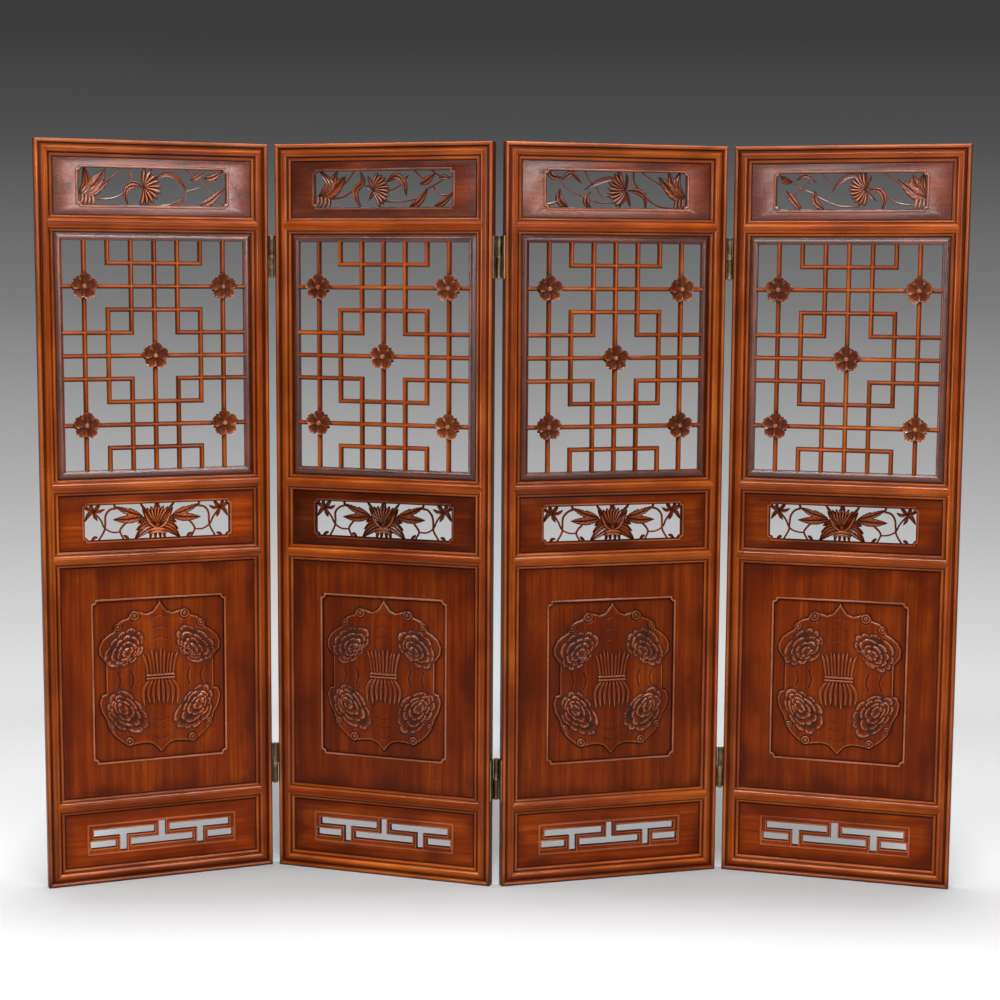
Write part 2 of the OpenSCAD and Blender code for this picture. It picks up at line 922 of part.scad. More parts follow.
module relief_board(k) {
    color(WOOD_DARK)
        on_panel(k) {
            difference() {
                union() {
                    blank(relief_z, relief_field_h);
                    slab(rim_y, mid_y)
                        sunk_outline(border_w);
                }
                slab(-over, board_y + sunk_depth)
                    sunk_outline(0);
            }
            slab(board_y, mid_y)
                plaque();
            for (at = PEONY_AT)
                peony(at);
            bundle();
        }
}

// Key fret board

// The slots of the fret, from the middle of its moulded frame
module fret_slots() {
    row = (slot_h + fret_bar) / 2;
    reach = fret_h / 2;
    beside_stem = stem_slot_w / 2 + fret_bar;
    lower_half = stem_x - beside_stem;
    translate([-lower_half, -row - slot_h / 2])
        square([2 * lower_half, slot_h]);
    translate([-stem_slot_w / 2, -row])
        square([stem_slot_w, row + reach]);
    for (side = [0, 1])
        mirror([side, 0]) {
            translate([beside_stem, row - slot_h / 2])
                square([upper_slot, slot_h]);
            translate([stem_x - stem_slot_w / 2, -reach])
                square([stem_slot_w, row + reach]);
            translate([stem_x + beside_stem, -row - slot_h / 2])
                square([short_slot, slot_h]);
        }
}

module key_fret_board(k) {
    zc = fret_z + fret_field_h / 2;
    color(WOOD_DARK)
        on_panel(k)
            difference() {
                union() {
                    blank(fret_z, fret_field_h);
                    slab(rim_y, frame_t - rim_y)
                        difference() {
                            centred(fret_w + 2 * rim_w, zc - fret_h / 2 - rim_w, zc + fret_h / 2 + rim_w);
                            centred(fret_w, zc - fret_h / 2, zc + fret_h / 2);
                        }
                }
                slab(-over, frame_t + over)
                    translate([mid_x, zc])
                        fret_slots();
            }
}

// Hinges. Each part is drawn from its fold axis, for the panel on the right

// Leaf with the knuckle that starts at height z0 above the hinge's middle
module hinge_leaf(z0, bore_r) {
    difference() {
        union() {
            box([fold_gap / 2 - leaf_t, leaf_y, -hinge_h / 2],
                [fold_gap / 2, leaf_end_y, hinge_h / 2]);
            box([fold_gap / 2 - leaf_t, 0, z0], [fold_gap / 2, leaf_y + over, z0 + knuckle_l]);
            translate([0, 0, z0])
                cylinder(r = knuckle_r, h = knuckle_l);
        }
        translate([0, 0, z0 - over])
            cylinder(r = bore_r, h = knuckle_l + 2 * over);
    }
}

module screw_cuts() {
    screw_places()
        translate([fold_gap / 2 - leaf_t, 0, 0])
            rotate([0, 90, 0]) {
                cylinder(r = shank_r + screw_gap, h = leaf_t + over);
                translate([0, 0, -screw_gap])
                    cylinder(r1 = head_r + 2 * screw_gap, r2 = shank_r + screw_gap, h = head_h + screw_gap);
            }
}

module pin_leaves(fold) {
    color(BRASS)
        on_panel(fold)
            at_right_edge(fold)
                difference() {
                    for (z = HINGE_Z)
                        translate([0, 0, z])
                            hinge_leaf(-hinge_h / 2, pin_r + fixed_pin_gap);
                    screw_cuts();
                }
}

module socket_leaves(fold) {
    color(BRASS)
        on_panel(fold + 1)
            at_left_edge(fold)
                difference() {
                    for (z = HINGE_Z)
                        translate([0, 0, z])
                            hinge_leaf(washer_t / 2 + lift_gap, pin_r + pin_gap);
                    screw_cuts();
                }
}

module hinge_pins(fold) {
    color(BRASS)
        on_panel(fold)
            at_right_edge(fold)
                for (z = HINGE_Z)
                    translate([0, 0, z - hinge_h / 2]) {
                        cylinder(r = pin_r, h = hinge_h - over);
                        translate([0, 0, -cap_h])
                            cylinder(r1 = pin_r, r2 = knuckle_r, h = cap_h);
                    }
}

module hinge_washers(fold) {
    color(BRASS)
        on_panel(fold)
            at_right_edge(fold)
                for (z = HINGE_Z)
                    translate([0, 0, z - washer_t / 2])
                        difference() {
                            cylinder(r = washer_r, h = washer_t);
                            translate([0, 0, -over])
                                cylinder(r = pin_r + pin_gap, h = washer_t + 2 * over);
                        }
}

module screw() {
    difference() {
        union() {
            cylinder(r = shank_r, h = screw_l);
            cylinder(r1 = head_r, r2 = shank_r, h = head_h);
        }
        box([-head_r, -slot_cut / 2, -over], [head_r, slot_cut / 2, slot_cut]);
    }
}

module edge_screws() {
    screw_places()
        translate([fold_gap / 2 - leaf_t, 0, 0])
            rotate([0, 90, 0])
                screw();
}

module hinge_screws(k) {
    color(BRASS)
        on_panel(k) {
            if (k > 1)
                at_left_edge(k - 1)
                    edge_screws();
            if (k < 4)
                at_right_edge(k)
                    edge_screws();
        }
}

for (k = [1:4]) {
    left_stile(k);
    right_stile(k);
    top_rail(k);
    bottom_rail(k);
    middle_rails(k);
    top_carved_board(k);
    lattice(k);
    flowers(k);
    middle_carved_board(k);
    relief_board(k);
    key_fret_board(k);
    hinge_screws(k);
}
for (f = [1:3]) {
    fold = str(f, f + 1);
    pin_leaves(f);
    socket_leaves(f);
    hinge_pins(f);
    hinge_washers(f);
}
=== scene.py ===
import json
import random
from math import copysign, cos, pi, radians, sin, sqrt

import bmesh
import bpy
import numpy as np
from mathutils import Matrix, Vector


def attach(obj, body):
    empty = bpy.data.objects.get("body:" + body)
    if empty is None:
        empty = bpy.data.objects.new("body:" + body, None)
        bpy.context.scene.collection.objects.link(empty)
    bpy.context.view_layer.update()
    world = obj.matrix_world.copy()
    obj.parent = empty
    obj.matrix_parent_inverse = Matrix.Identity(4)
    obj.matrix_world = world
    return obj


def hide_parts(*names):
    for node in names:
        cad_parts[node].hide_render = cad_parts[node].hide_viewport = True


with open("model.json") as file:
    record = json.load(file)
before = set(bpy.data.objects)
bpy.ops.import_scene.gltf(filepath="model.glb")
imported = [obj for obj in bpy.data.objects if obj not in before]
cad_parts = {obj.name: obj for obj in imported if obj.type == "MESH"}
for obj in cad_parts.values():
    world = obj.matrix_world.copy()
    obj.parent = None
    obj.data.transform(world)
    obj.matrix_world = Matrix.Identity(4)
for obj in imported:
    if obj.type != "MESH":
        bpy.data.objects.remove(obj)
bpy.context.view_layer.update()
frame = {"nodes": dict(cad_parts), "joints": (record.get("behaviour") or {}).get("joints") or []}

# Sizes in millimetres, in a panel's own frame: X from its left edge, Y back from its front, Z up
MM = 0.001
PANEL_W, PANEL_H, FRAME_T, FRAME_W, RAIL_H = 560.0, 1800.0, 28.0, 43.0, 43.0
MID_X, MID_Y = PANEL_W / 2, FRAME_T / 2
EDGE_R, BEAD_FROM, BEAD_TO, LIP_END = 3.75, 13.0, 32.0, 41.0
CREST_X = (BEAD_FROM + BEAD_TO) / 2
BEAD_RISE, STEP_Y = 5.0, 9.6
RAIL_FOOT = 9.0
MITRE_GAP = 0.12
BOARD_FRONT, BOARD_BACK, BOARD_GAP = 8.0, 20.0, 0.5
RELIEF_REACH, RELIEF_SCALE, RING_SCALE = 6.0, 3.2, 2.0
RIM_Y = 6.5
NO_FIELD = 9000.0
INNER_LOW, INNER_HIGH = FRAME_W, PANEL_W - FRAME_W
# Lower edges of the middle rails, and the lower and upper height of each field between the rails
RAILS = (174.0, 781.0, 955.0, 1582.0)
FRET_FIELD, RELIEF_FIELD, MID_FIELD, LATTICE_FIELD, TOP_FIELD = zip(
    (FRAME_W, *(z + RAIL_H for z in RAILS)), (*RAILS, PANEL_H - FRAME_W))
OPENING_W, OPENING_H, OPENING_R = 357.0, 88.0, 8.0

# Stance: each panel's turn about Z in degrees, the gap at a fold, and how far out of a face it is
TURNS = {1: 22.1, 2: -18.0, 3: 16.0, 4: -16.3}
FOLD_GAP, AXIS_OUT = 15.0, 1.5
FRONT_FOLD_Y, BACK_FOLD_Y = -AXIS_OUT, FRAME_T + AXIS_OUT

# Panel: the fold that carries it, the side of the panel that the fold is on, and the fold's depth
PLACED_BY = {
    1: ("fold_12", PANEL_W + FOLD_GAP / 2, FRONT_FOLD_Y),
    2: ("fold_12", -FOLD_GAP / 2, FRONT_FOLD_Y),
    3: ("fold_23", -FOLD_GAP / 2, BACK_FOLD_Y),
    4: ("fold_34", -FOLD_GAP / 2, FRONT_FOLD_Y),
}


def panel_matrix(k):
    """From panel k's own millimetres to the row frame in metres."""
    name, x, y = PLACED_BY[k]
    fold = next(j for j in frame["joints"] if j["name"] == name)["pos_m"]
    turn = Matrix.Rotation(radians(TURNS[k]), 4, "Z") @ Matrix.Scale(MM, 4)
    return Matrix.Translation(fold) @ turn @ Matrix.Translation((-x, -y, 0))


# Forms: closed shapes with what the materials read at each vertex, in a panel's own frame


class Form:
    """Tone and polish hold for what is added next: how light the wood is drawn, painted light and
    shade included, and how much it gleams.
    """

    def __init__(self, tone=1.0, polish=1.0):
        self.points, self.grain, self.relief, self.faces, self.count = [], [], [], [], 0
        self.tone, self.polish, self.tones, self.polishes = tone, polish, [], []

    def add(self, points, faces, grain=None, relief=None):
        """Adds one closed shape. Wood grain runs along the first grain coordinate. Relief is -1 in
        a hollow and 1 on a ridge."""
        points = np.asarray(points, float)
        self.faces += [tuple(i + self.count for i in f) for f in faces]
        self.points.append(points)
        self.grain.append(along_z(points) if grain is None else grain)
        self.relief.append(np.zeros(len(points)) if relief is None else np.clip(relief, -1, 1))
        self.tones.append(np.full(len(points), self.tone))
        self.polishes.append(np.full(len(points), self.polish))
        self.count += len(points)


def along_z(points):
    return points[:, [2, 0, 1]]


def along_x(points):
    return points[:, [0, 2, 1]]


def upright(flat, depth):
    """Rows of points from their places on a face and their depths."""
    return np.dstack([flat[..., 0], depth, flat[..., 1]]).reshape(-1, 3)


def unit(v):
    return v / max(np.linalg.norm(v), 1e-9)


def left_of(d):
    return np.stack([-d[..., 1], d[..., 0]], -1)


def polar(x, z, r, a):
    return (x + r * cos(a), z + r * sin(a))


def smooth(points, count):
    """count points along a smooth curve through the given ones."""
    p = np.array([points[0], *points, points[-1]], float)
    p[0] = 2 * p[1] - p[2]
    p[-1] = 2 * p[-2] - p[-3]
    spans = len(points) - 1
    at = np.linspace(0, spans, count)
    i = np.minimum(at.astype(int), spans - 1)
    t = (at - i)[:, None]
    a, b, c, d = p[i], p[i + 1], p[i + 2], p[i + 3]
    return 0.5 * (2 * b + (c - a) * t + (2 * a - 5 * b + 4 * c - d) * t**2
                  + (3 * b - a - 3 * c + d) * t**3)


def bent(points, count):
    """A smooth line of count points, and the direction to the left of it at each."""
    line = smooth(points, count)
    ahead = np.gradient(line, axis=0)
    return line, left_of(ahead / np.linalg.norm(ahead, axis=1)[:, None])


def section_relief(section, scale=RELIEF_SCALE):
    """How far each point of a section stands before its surroundings on the same face."""
    section = np.asarray(section, float)
    depth = np.minimum(section[:, 1], FRAME_T - section[:, 1])
    near = np.abs(section[:, None, 0] - section[None, :, 0]) < RELIEF_REACH
    near &= (section[:, None, 1] < MID_Y) == (section[None, :, 1] < MID_Y)
    around = (near * depth[None, :]).sum(1) / near.sum(1)
    return (around - depth) / scale


def tube(rows, m, closed=False):
    """Faces of rows of m points, each row a loop. An open tube gets a cap at each end."""
    faces = [
        (i * m + j, i * m + (j + 1) % m, (i + 1) % rows * m + (j + 1) % m, (i + 1) % rows * m + j)
        for i in range(rows if closed else rows - 1) for j in range(m)
    ]
    last = (rows - 1) * m
    return faces if closed else faces + [tuple(range(m)), tuple(range(last + m - 1, last - 1, -1))]


def segment(form, p, q, section, before=None, after=None, bias=0.0):
    """One straight piece from p to q, faces X and Z, of a section (left of the path, depth)."""
    p, q = np.array(p, float), np.array(q, float)
    d = unit(q - p)
    n = left_of(d)
    section = np.array(section, float)
    rows = []
    for corner, ahead, other in ((p, -1, before), (q, 1, after)):
        slope = 0.0
        if other is not None:
            turn = unit(np.array(other, float) - corner) * ahead
            mitre = n + left_of(turn)
            slope = (mitre @ d) / (mitre @ n)
        along = corner - ahead * d * MITRE_GAP if other is not None else corner
        flat = along + np.outer(section[:, 0], n + d * slope)
        rows.append(np.column_stack([flat[:, 0], section[:, 1], flat[:, 1]]))
    points = np.vstack(rows)
    face = points[:, [0, 2]]
    grain = np.column_stack([face @ d, face @ n, points[:, 1]])
    relief = np.tile(section_relief(section), 2) + bias
    form.add(points, tube(2, len(section)), grain, relief)


def path(form, points, section, closed=False, bias=0.0):
    """Straight pieces along a path, mitred where they meet."""
    n = len(points)
    for i in range(n if closed else n - 1):
        before = points[i - 1] if closed or i > 0 else None
        after = points[(i + 2) % n] if closed or i + 2 < n else None
        segment(form, points[i], points[(i + 1) % n], section, before, after, bias)


def ring(form, loop, section):
    """One closed moulding round a loop, its section (outward from the loop, depth)."""
    loop, section = np.array(loop, float), np.array(section, float)
    ahead = np.roll(loop, -1, 0) - loop
    ahead /= np.linalg.norm(ahead, axis=1)[:, None]
    behind = np.roll(ahead, 1, 0)
    area = np.sum(loop[:, 0] * np.roll(loop[:, 1], -1) - np.roll(loop[:, 0], -1) * loop[:, 1])
    side = -np.sign(area)
    normals = side * (left_of(ahead) + left_of(behind)) / (1 + np.sum(ahead * behind, 1))[:, None]
    n, m = len(loop), len(section)
    flat = loop[:, None, :] + normals[:, None, :] * section[None, :, :1]
    depth = np.broadcast_to(section[None, :, 1], (n, m))
    points = upright(flat, depth)
    relief = np.tile(section_relief(section, RING_SCALE), n)
    form.add(points, tube(n, m, closed=True), along_x(points), relief)


def plate(form, outlines, bevel, grain=along_x):
    """A flat board with holes and rounded arrises."""
    curve = bpy.data.curves.new("outline", "CURVE")
    curve.dimensions, curve.fill_mode = "2D", "BOTH"
    curve.extrude, curve.bevel_depth = (BOARD_BACK - BOARD_FRONT) / 2 - bevel, bevel
    curve.offset, curve.bevel_resolution = -bevel, 2
    for outline in outlines:
        spline = curve.splines.new("POLY")
        spline.points.add(len(outline) - 1)
        for point, (x, z) in zip(spline.points, outline):
            point.co = (x, z, 0, 1)
        spline.use_cyclic_u = True
    obj = bpy.data.objects.new("outline", curve)
    mesh = bpy.data.meshes.new_from_object(obj)
    bm = bmesh.new()
    bm.from_mesh(mesh)
    bmesh.ops.remove_doubles(bm, verts=bm.verts, dist=0.002)
    middle = (BOARD_FRONT + BOARD_BACK) / 2
    points = np.array([(v.co.x, middle - v.co.z, v.co.y) for v in bm.verts])
    faces = [tuple(v.index for v in f.verts) for f in bm.faces]
    bm.free()
    bpy.data.objects.remove(obj)
    bpy.data.curves.remove(curve)
    bpy.data.meshes.remove(mesh)
    form.add(points, faces, grain(points))


def rectangle(x0, z0, x1, z1):
    return [(x0, z0), (x1, z0), (x1, z1), (x0, z1)]


def field_outline(field):
    """Outline of the board in a field, with the gap left all round it."""
    low, high = field
    return rectangle(INNER_LOW + BOARD_GAP, low + BOARD_GAP,
                     INNER_HIGH - BOARD_GAP, high - BOARD_GAP)


def middle_of(field):
    return (field[0] + field[1]) / 2


def notched(x0, z0, x1, z1, r):
    """Rectangle whose corners are cut in by a quarter circle of radius r."""
    loop = []
    for x, z, start in ((x1, z0, 180), (x1, z1, 270), (x0, z1, 0), (x0, z0, 90)):
        loop += [polar(x, z, r, radians(start - turn)) for turn in range(0, 91, 18)]
    return loop


def bead(a0, a1, low_y, high_y, steps):
    """Points of a round bead across a0 to a1, from depth low_y up to high_y."""
    rise, half = low_y - high_y, (a1 - a0) / 2
    r = (half * half + rise * rise) / (2 * rise)
    xs = np.linspace(-half, half, steps + 1)
    return [(a0 + half + x, high_y + r - sqrt(r * r - x * x)) for x in xs]


def both_faces(front):
    """Closes a front half section with its own mirror image on the back."""
    return front + [(a, FRAME_T - y) for a, y in reversed(front)]


def two_sided(n, m):
    """Faces of a closed sheet whose front has n by m points, and its back as many after them."""
    far, faces = n * m, []
    for i in range(n - 1):
        for a in range(i * m, i * m + m - 1):
            b = far + a
            faces += [(a, a + 1, a + m + 1, a + m), (b, b + m, b + m + 1, b + 1)]
        for a in (i * m, i * m + m - 1):
            faces.append((a, a + m, far + a + m, far + a))
    for i in (0, n - 1):
        faces += [(a, far + a, far + a + 1, a + 1) for a in range(i * m, i * m + m - 1)]
    return faces


def linked(name, data):
    obj = bpy.data.objects.new(name, data)
    bpy.context.scene.collection.objects.link(obj)
    return obj


def store(mesh, name, kind, values):
    """Keeps one value or vector for each vertex under a name that the materials read."""
    attribute = mesh.attributes.new(name, kind, "POINT")
    key = "value" if kind == "FLOAT" else "vector"
    attribute.data.foreach_set(key, np.asarray(values, np.float32).ravel())


def store_place(mesh, points, field):
    """Place of each point from the middle of its board, and the board's half width and height."""
    low, high = field or (-NO_FIELD, NO_FIELD)
    half_w = (INNER_HIGH - INNER_LOW) / 2 if field else NO_FIELD
    extent = [half_w * MM, 0, (high - low) / 2 * MM]
    store(mesh, "place", "FLOAT_VECTOR", (points - [MID_X, 0, (low + high) / 2]) * MM)
    store(mesh, "extent", "FLOAT_VECTOR", np.tile(extent, (len(points), 1)))


def smooth_out(mesh, sharp):
    """Turns every face outward and shades it smooth, with edges sharp from an angle in degrees."""
    bm = bmesh.new()
    bm.from_mesh(mesh)
    bmesh.ops.recalc_face_normals(bm, faces=bm.faces)
    bm.to_mesh(mesh)
    bm.free()
    mesh.polygons.foreach_set("use_smooth", [True] * len(mesh.polygons))
    mesh.set_sharp_from_angle(angle=radians(sharp))


def piece(name, form, k, material, node, sharp=38.0, field=None):
    """Makes one Blender object of panel k from a form, riding on the panel and standing for a node.
    A field is a board's lower and upper height: its edges are drawn darker, as painted shade with
    grime."""
    world = np.array(panel_matrix(k))
    points = np.vstack(form.points)
    grain = np.vstack(form.grain) * MM
    seed = random.Random(name)
    grain = grain + np.array([seed.uniform(-9, 9) for _ in range(3)])
    mesh = bpy.data.meshes.new(name)
    mesh.from_pydata((points @ world[:3, :3].T + world[:3, 3]).tolist(), [], form.faces)
    store(mesh, "grain", "FLOAT_VECTOR", grain)
    for key, values in (("relief", form.relief), ("tone", form.tones), ("polish", form.polishes)):
        store(mesh, key, "FLOAT", np.concatenate(values))
    store_place(mesh, points, field)
    smooth_out(mesh, sharp)
    mesh.materials.append(material)
    obj = linked(name, mesh)
    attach(obj, f"panel_{k}")
    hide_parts(node)


def carved_piece(name, form, k, field, sharp=38.0):
    piece(f"{name}_of_{k}", form, k, CARVED_WOOD, f"{name}_{k}", sharp=sharp,
          field=field)


# Materials


class Value:
    """A node's output. Sums, differences and products of values are made by Math nodes."""

    def __init__(self, nodes, socket):
        self.nodes, self.socket = nodes, socket

    def __add__(self, other):
        return self.nodes.math("ADD", self, other)

    def __sub__(self, other):
        return self.nodes.math("SUBTRACT", self, other)

    def __rsub__(self, other):
        return self.nodes.math("SUBTRACT", other, self)

    def __mul__(self, other):
        return self.nodes.math("MULTIPLY", self, other)

    def __abs__(self):
        return self.nodes.math("ABSOLUTE", self)


class Nodes:
    """The node tree of a material or a world. Its methods make nodes and give their values."""

    def __init__(self, owner):
        owner.use_nodes = True
        self.owner, self.tree = owner, owner.node_tree
        self.shader = self.tree.nodes.get("Principled BSDF")

    def put(self, node, key, value):
        """Links or sets an input, found by its name or its place."""
        if isinstance(value, Value):
            self.tree.links.new(value.socket, node.inputs[key])
        else:
            node.inputs[key].default_value = value

    def new(self, kind, inputs, output=0, **settings):
        node = self.tree.nodes.new(kind)
        for name, setting in settings.items():
            setattr(node, name, setting)
        for key, value in inputs.items():
            self.put(node, key, value)
        return Value(self, node.outputs[output])

    def math(self, operation, a, b=0.0, clamp=False):
        return self.new("ShaderNodeMath", {0: a, 1: b}, operation=operation, use_clamp=clamp)

    def mix(self, share, a, b, blend="MIX"):
        a, b = ((*colour, 1) if isinstance(colour, tuple) else colour for colour in (a, b))
        return self.new("ShaderNodeMix", {0: share, 6: a, 7: b}, 2, data_type="RGBA",
                        blend_type=blend, clamp_factor=True)

    def ramp(self, value, *stops, ease="LINEAR"):
        ramp = self.new("ShaderNodeValToRGB", {"Fac": value}, "Color")
        table = ramp.socket.node.color_ramp
        table.interpolation = ease
        while len(table.elements) < len(stops):
            table.elements.new(0.5)
        for element, (at, colour) in zip(table.elements, stops):
            element.position = at
            element.color = (*colour, 1) if isinstance(colour, tuple) else (colour,) * 3 + (1,)
        return ramp

    def noise(self, vector, scale, detail, roughness=0.55, distortion=0.0):
        inputs = {"Vector": vector, "Scale": scale, "Detail": detail, "Roughness": roughness,
                  "Distortion": distortion}
        return self.new("ShaderNodeTexNoise", inputs, "Fac")

    def stretched(self, vector, along, across):
        inputs = {"Vector": vector, "Scale": (along, across, across)}
        return self.new("ShaderNodeMapping", inputs)

    def hollow(self, distance, inside=False):
        return self.new("ShaderNodeAmbientOcclusion", {"Distance": distance}, "AO", samples=6,
                        inside=inside)

    def span(self, value, low, high):
        """Rises smoothly from 0 at low to 1 at high."""
        inputs = {"Value": value, "From Min": low, "From Max": high}
        return self.new("ShaderNodeMapRange", inputs, interpolation_type="SMOOTHSTEP")

    def value(self, name, output="Fac"):
        return self.new("ShaderNodeAttribute", {}, output, attribute_name=name)

    def place(self, output="Object"):
        return self.new("ShaderNodeTexCoord", {}, output)

    def split(self, vector):
        separate = self.new("ShaderNodeSeparateXYZ", {"Vector": vector}).socket.node
        return [Value(self, output) for output in separate.outputs]

    def seen(self):
        """1 for what the camera sees, straight or by gloss or through something."""
        rays = self.new("ShaderNodeLightPath", {}).socket.node.outputs
        camera, gloss, through = (
            Value(self, rays[name])
            for name in ("Is Camera Ray", "Is Glossy Ray", "Is Transmission Ray"))
        return self.math("MAXIMUM", self.math("MAXIMUM", camera, gloss), through)

    def bump(self, strength, distance, height):
        inputs = {"Strength": strength, "Distance": distance, "Height": height}
        self.put(self.shader, "Normal", self.new("ShaderNodeBump", inputs))


def darker(colour, share):
    return tuple(c * share for c in colour)


def wood_figure(n, grain, dark, middle, light, streaks):
    """Colour by figure, streaks, patches and pores, then the masks that wood() also needs."""
    figure = n.noise(n.stretched(grain, 3.0, 62), 1.0, 6, 0.62, 0.4)
    bands = n.noise(n.stretched(grain, 1.3, 16), 1.0, 3, 0.5, 0.3)
    lines = n.noise(n.stretched(grain, 2.2, 190), 1.0, 2, 0.5)
    pores = n.noise(n.stretched(grain, 42, 1150), 1.0, 2, 0.6)
    patches = n.noise(n.stretched(grain, 7, 11), 1.0, 3, 0.5)
    colour = n.ramp(figure * 0.62 + bands * 0.38, (0.30, dark), (0.50, middle), (0.70, light))
    colour = n.mix(n.ramp(lines, (0.34, 1.0), (0.52, 0.0)) * streaks, colour, dark)
    colour = n.mix(n.ramp(patches, (0.34, 0.62), (0.62, 0.0)), colour, dark)
    pore_mask = n.ramp(pores, (0.30, 1.0), (0.42, 0.0))
    colour = n.mix(pore_mask * 0.40, colour, darker(dark, 0.35))
    return colour, figure, patches, pore_mask


def edge_shade_and_dirt(n, patches):
    """How much darker a board is drawn toward its edges, in soft patches: painted shade of its
    recess, and old grime.
    """
    x, _, z = n.split(n.value("place", "Vector"))
    half_w, _, half_h = n.split(n.value("extent", "Vector"))
    inset = n.math("MINIMUM", half_w - abs(x), half_h - abs(z)) + (patches - 0.5) * 0.10
    return n.span(inset, 0.036, -0.012) * 0.66


def cut_shade_and_dirt(n, relief, crevice_dark):
    """How much darker cuts and tight corners are drawn: painted shade from their depth and from
    occlusion, and grime.
    """
    cut = n.math("MULTIPLY", relief, -1.3, clamp=True) * 0.86
    closed = n.ramp(n.hollow(0.008), (0.25, 0.85), (0.80, 0.0))
    return n.math("MAXIMUM", cut, closed) * crevice_dark


def wood(name, dark, middle, light, pale, rough, streaks, rubbed_and_lit, gleam, crevice_dark):
    """Stained and lacquered hardwood: long figure, fine pores, painted shade and grime in hollows,
    and ridges drawn paler for wear and as a painted highlight.
    """
    n = Nodes(bpy.data.materials.new(name))
    grain, relief = n.value("grain", "Vector"), n.value("relief")
    colour, figure, patches, pores = wood_figure(n, grain, dark, middle, light, streaks)
    # Ridges are drawn paler in patches: wear, and a painted highlight as well.
    tone_shift = n.ramp(patches, (0.35, 0.45), (0.62, 1.0))
    ridge = n.math("MULTIPLY", relief - 0.12, tone_shift, clamp=True)
    colour = n.mix(ridge * rubbed_and_lit, colour, pale)
    # Board edges and hollows are drawn darker: painted shade, by occlusion in the hollows, with
    # grime at the edges.
    colour = n.mix(edge_shade_and_dirt(n, patches), colour, darker(dark, 0.55))
    shade = n.ramp(n.hollow(0.040), (0.70, 0.75), (0.97, 0.0))
    colour = n.mix(shade, colour, darker(dark, 0.55))
    # Cuts and tight corners are drawn almost black: painted shade, with grime there too.
    shade_and_dirt = cut_shade_and_dirt(n, relief, crevice_dark)
    colour = n.mix(shade_and_dirt, colour, darker(dark, 0.16))
    colour = n.mix(1.0, colour, n.value("tone"), "MULTIPLY")
    n.put(n.shader, "Base Color", colour)
    n.put(n.shader, "Roughness", patches * 0.16 + (rough - 0.08) + pores * 0.15 + shade_and_dirt * 0.25)
    n.put(n.shader, "Specular IOR Level", n.value("polish") * WOOD_SPECULAR + ridge * gleam)
    n.bump(0.30, 0.0006, figure * 0.30 - pores * 0.35 + n.noise(grain, 85, 3) * 1.4)
    return n.owner


def aged_brass(name):
    """Dull brass under a brown patina, rubbed bright on its arrises."""
    n = Nodes(bpy.data.materials.new(name))
    patina, specks = n.noise(n.place(), 55, 5, 0.6), n.noise(n.place(), 420, 3, 0.6)
    colour = n.ramp(patina, (0.36, (0.060, 0.036, 0.018)), (0.52, (0.140, 0.088, 0.044)),
                    (0.66, (0.26, 0.180, 0.095)))
    colour = n.mix(n.ramp(specks, (0.55, 0.0), (0.70, 0.55)), colour, (0.055, 0.035, 0.018))
    tone_shift = n.ramp(n.hollow(0.0025, inside=True), (0.5, 1.0), (0.85, 0.0))
    colour = n.mix(tone_shift * 0.6, colour, (0.42, 0.31, 0.17))
    crevice_dark = n.ramp(n.hollow(0.006), (0.35, 1.0), (0.9, 0.0))
    colour = n.mix(crevice_dark * 0.8, colour, (0.028, 0.016, 0.008))
    n.put(n.shader, "Base Color", colour)
    n.put(n.shader, "Metallic", 0.85)
    n.put(n.shader, "Roughness", patina * 0.35 + 0.24)
    n.bump(0.25, 0.0004, specks)
    return n.owner


WOOD_SPECULAR = 0.07
FRAME_WOOD = wood(
    "frame_wood", dark=(0.070, 0.009, 0.0008), middle=(0.215, 0.034, 0.0022),
    light=(0.39, 0.094, 0.0075), pale=(0.52, 0.165, 0.030),
    rough=0.17, streaks=0.45, rubbed_and_lit=0.50, gleam=0.65, crevice_dark=0.72)
CARVED_WOOD = wood(
    "carved_wood", dark=(0.074, 0.0085, 0.0008), middle=(0.164, 0.022, 0.0014),
    light=(0.262, 0.049, 0.0034), pale=(0.47, 0.125, 0.024),
    rough=0.25, streaks=0.46, rubbed_and_lit=0.80, gleam=0.62, crevice_dark=0.95)
BRASS = aged_brass("hinge_brass")

# Painted light and shade: each panel's wood drawn lighter or darker for how the light falls on its
# turn; and how much it gleams, panel by panel where the panels differ
BOARD_SHADING = {1: 1.00, 2: 0.71, 3: 0.80, 4: 0.86}
TOP_SHADING = {1: 1.05, 2: 0.69, 3: 0.96, 4: 0.95}
TOP_POLISH = {1: 9.3, 2: 6.2, 3: 7.4, 4: 9.2}
MIDDLE_SHADING = {1: 1.25, 2: 0.47, 3: 0.80, 4: 0.84}
FRET_TONE = 1.3
FRAME_POLISH, FLOWER_POLISH = 1.1, 2.0
BAND_POLISH = {1: 11.5, 2: 9.0, 3: 6.0, 4: 10.0}
RELIEF_TONE, BLOOM_POLISH, RIM_POLISH = 0.95, 1.6, 2.6
RAIL_TONE, FOOT_TONE = 1.08, 1.35
CARVING_TONE, BAND_TONE, FLOWER_TONE = 0.82, 0.75, 0.92


# Frame members


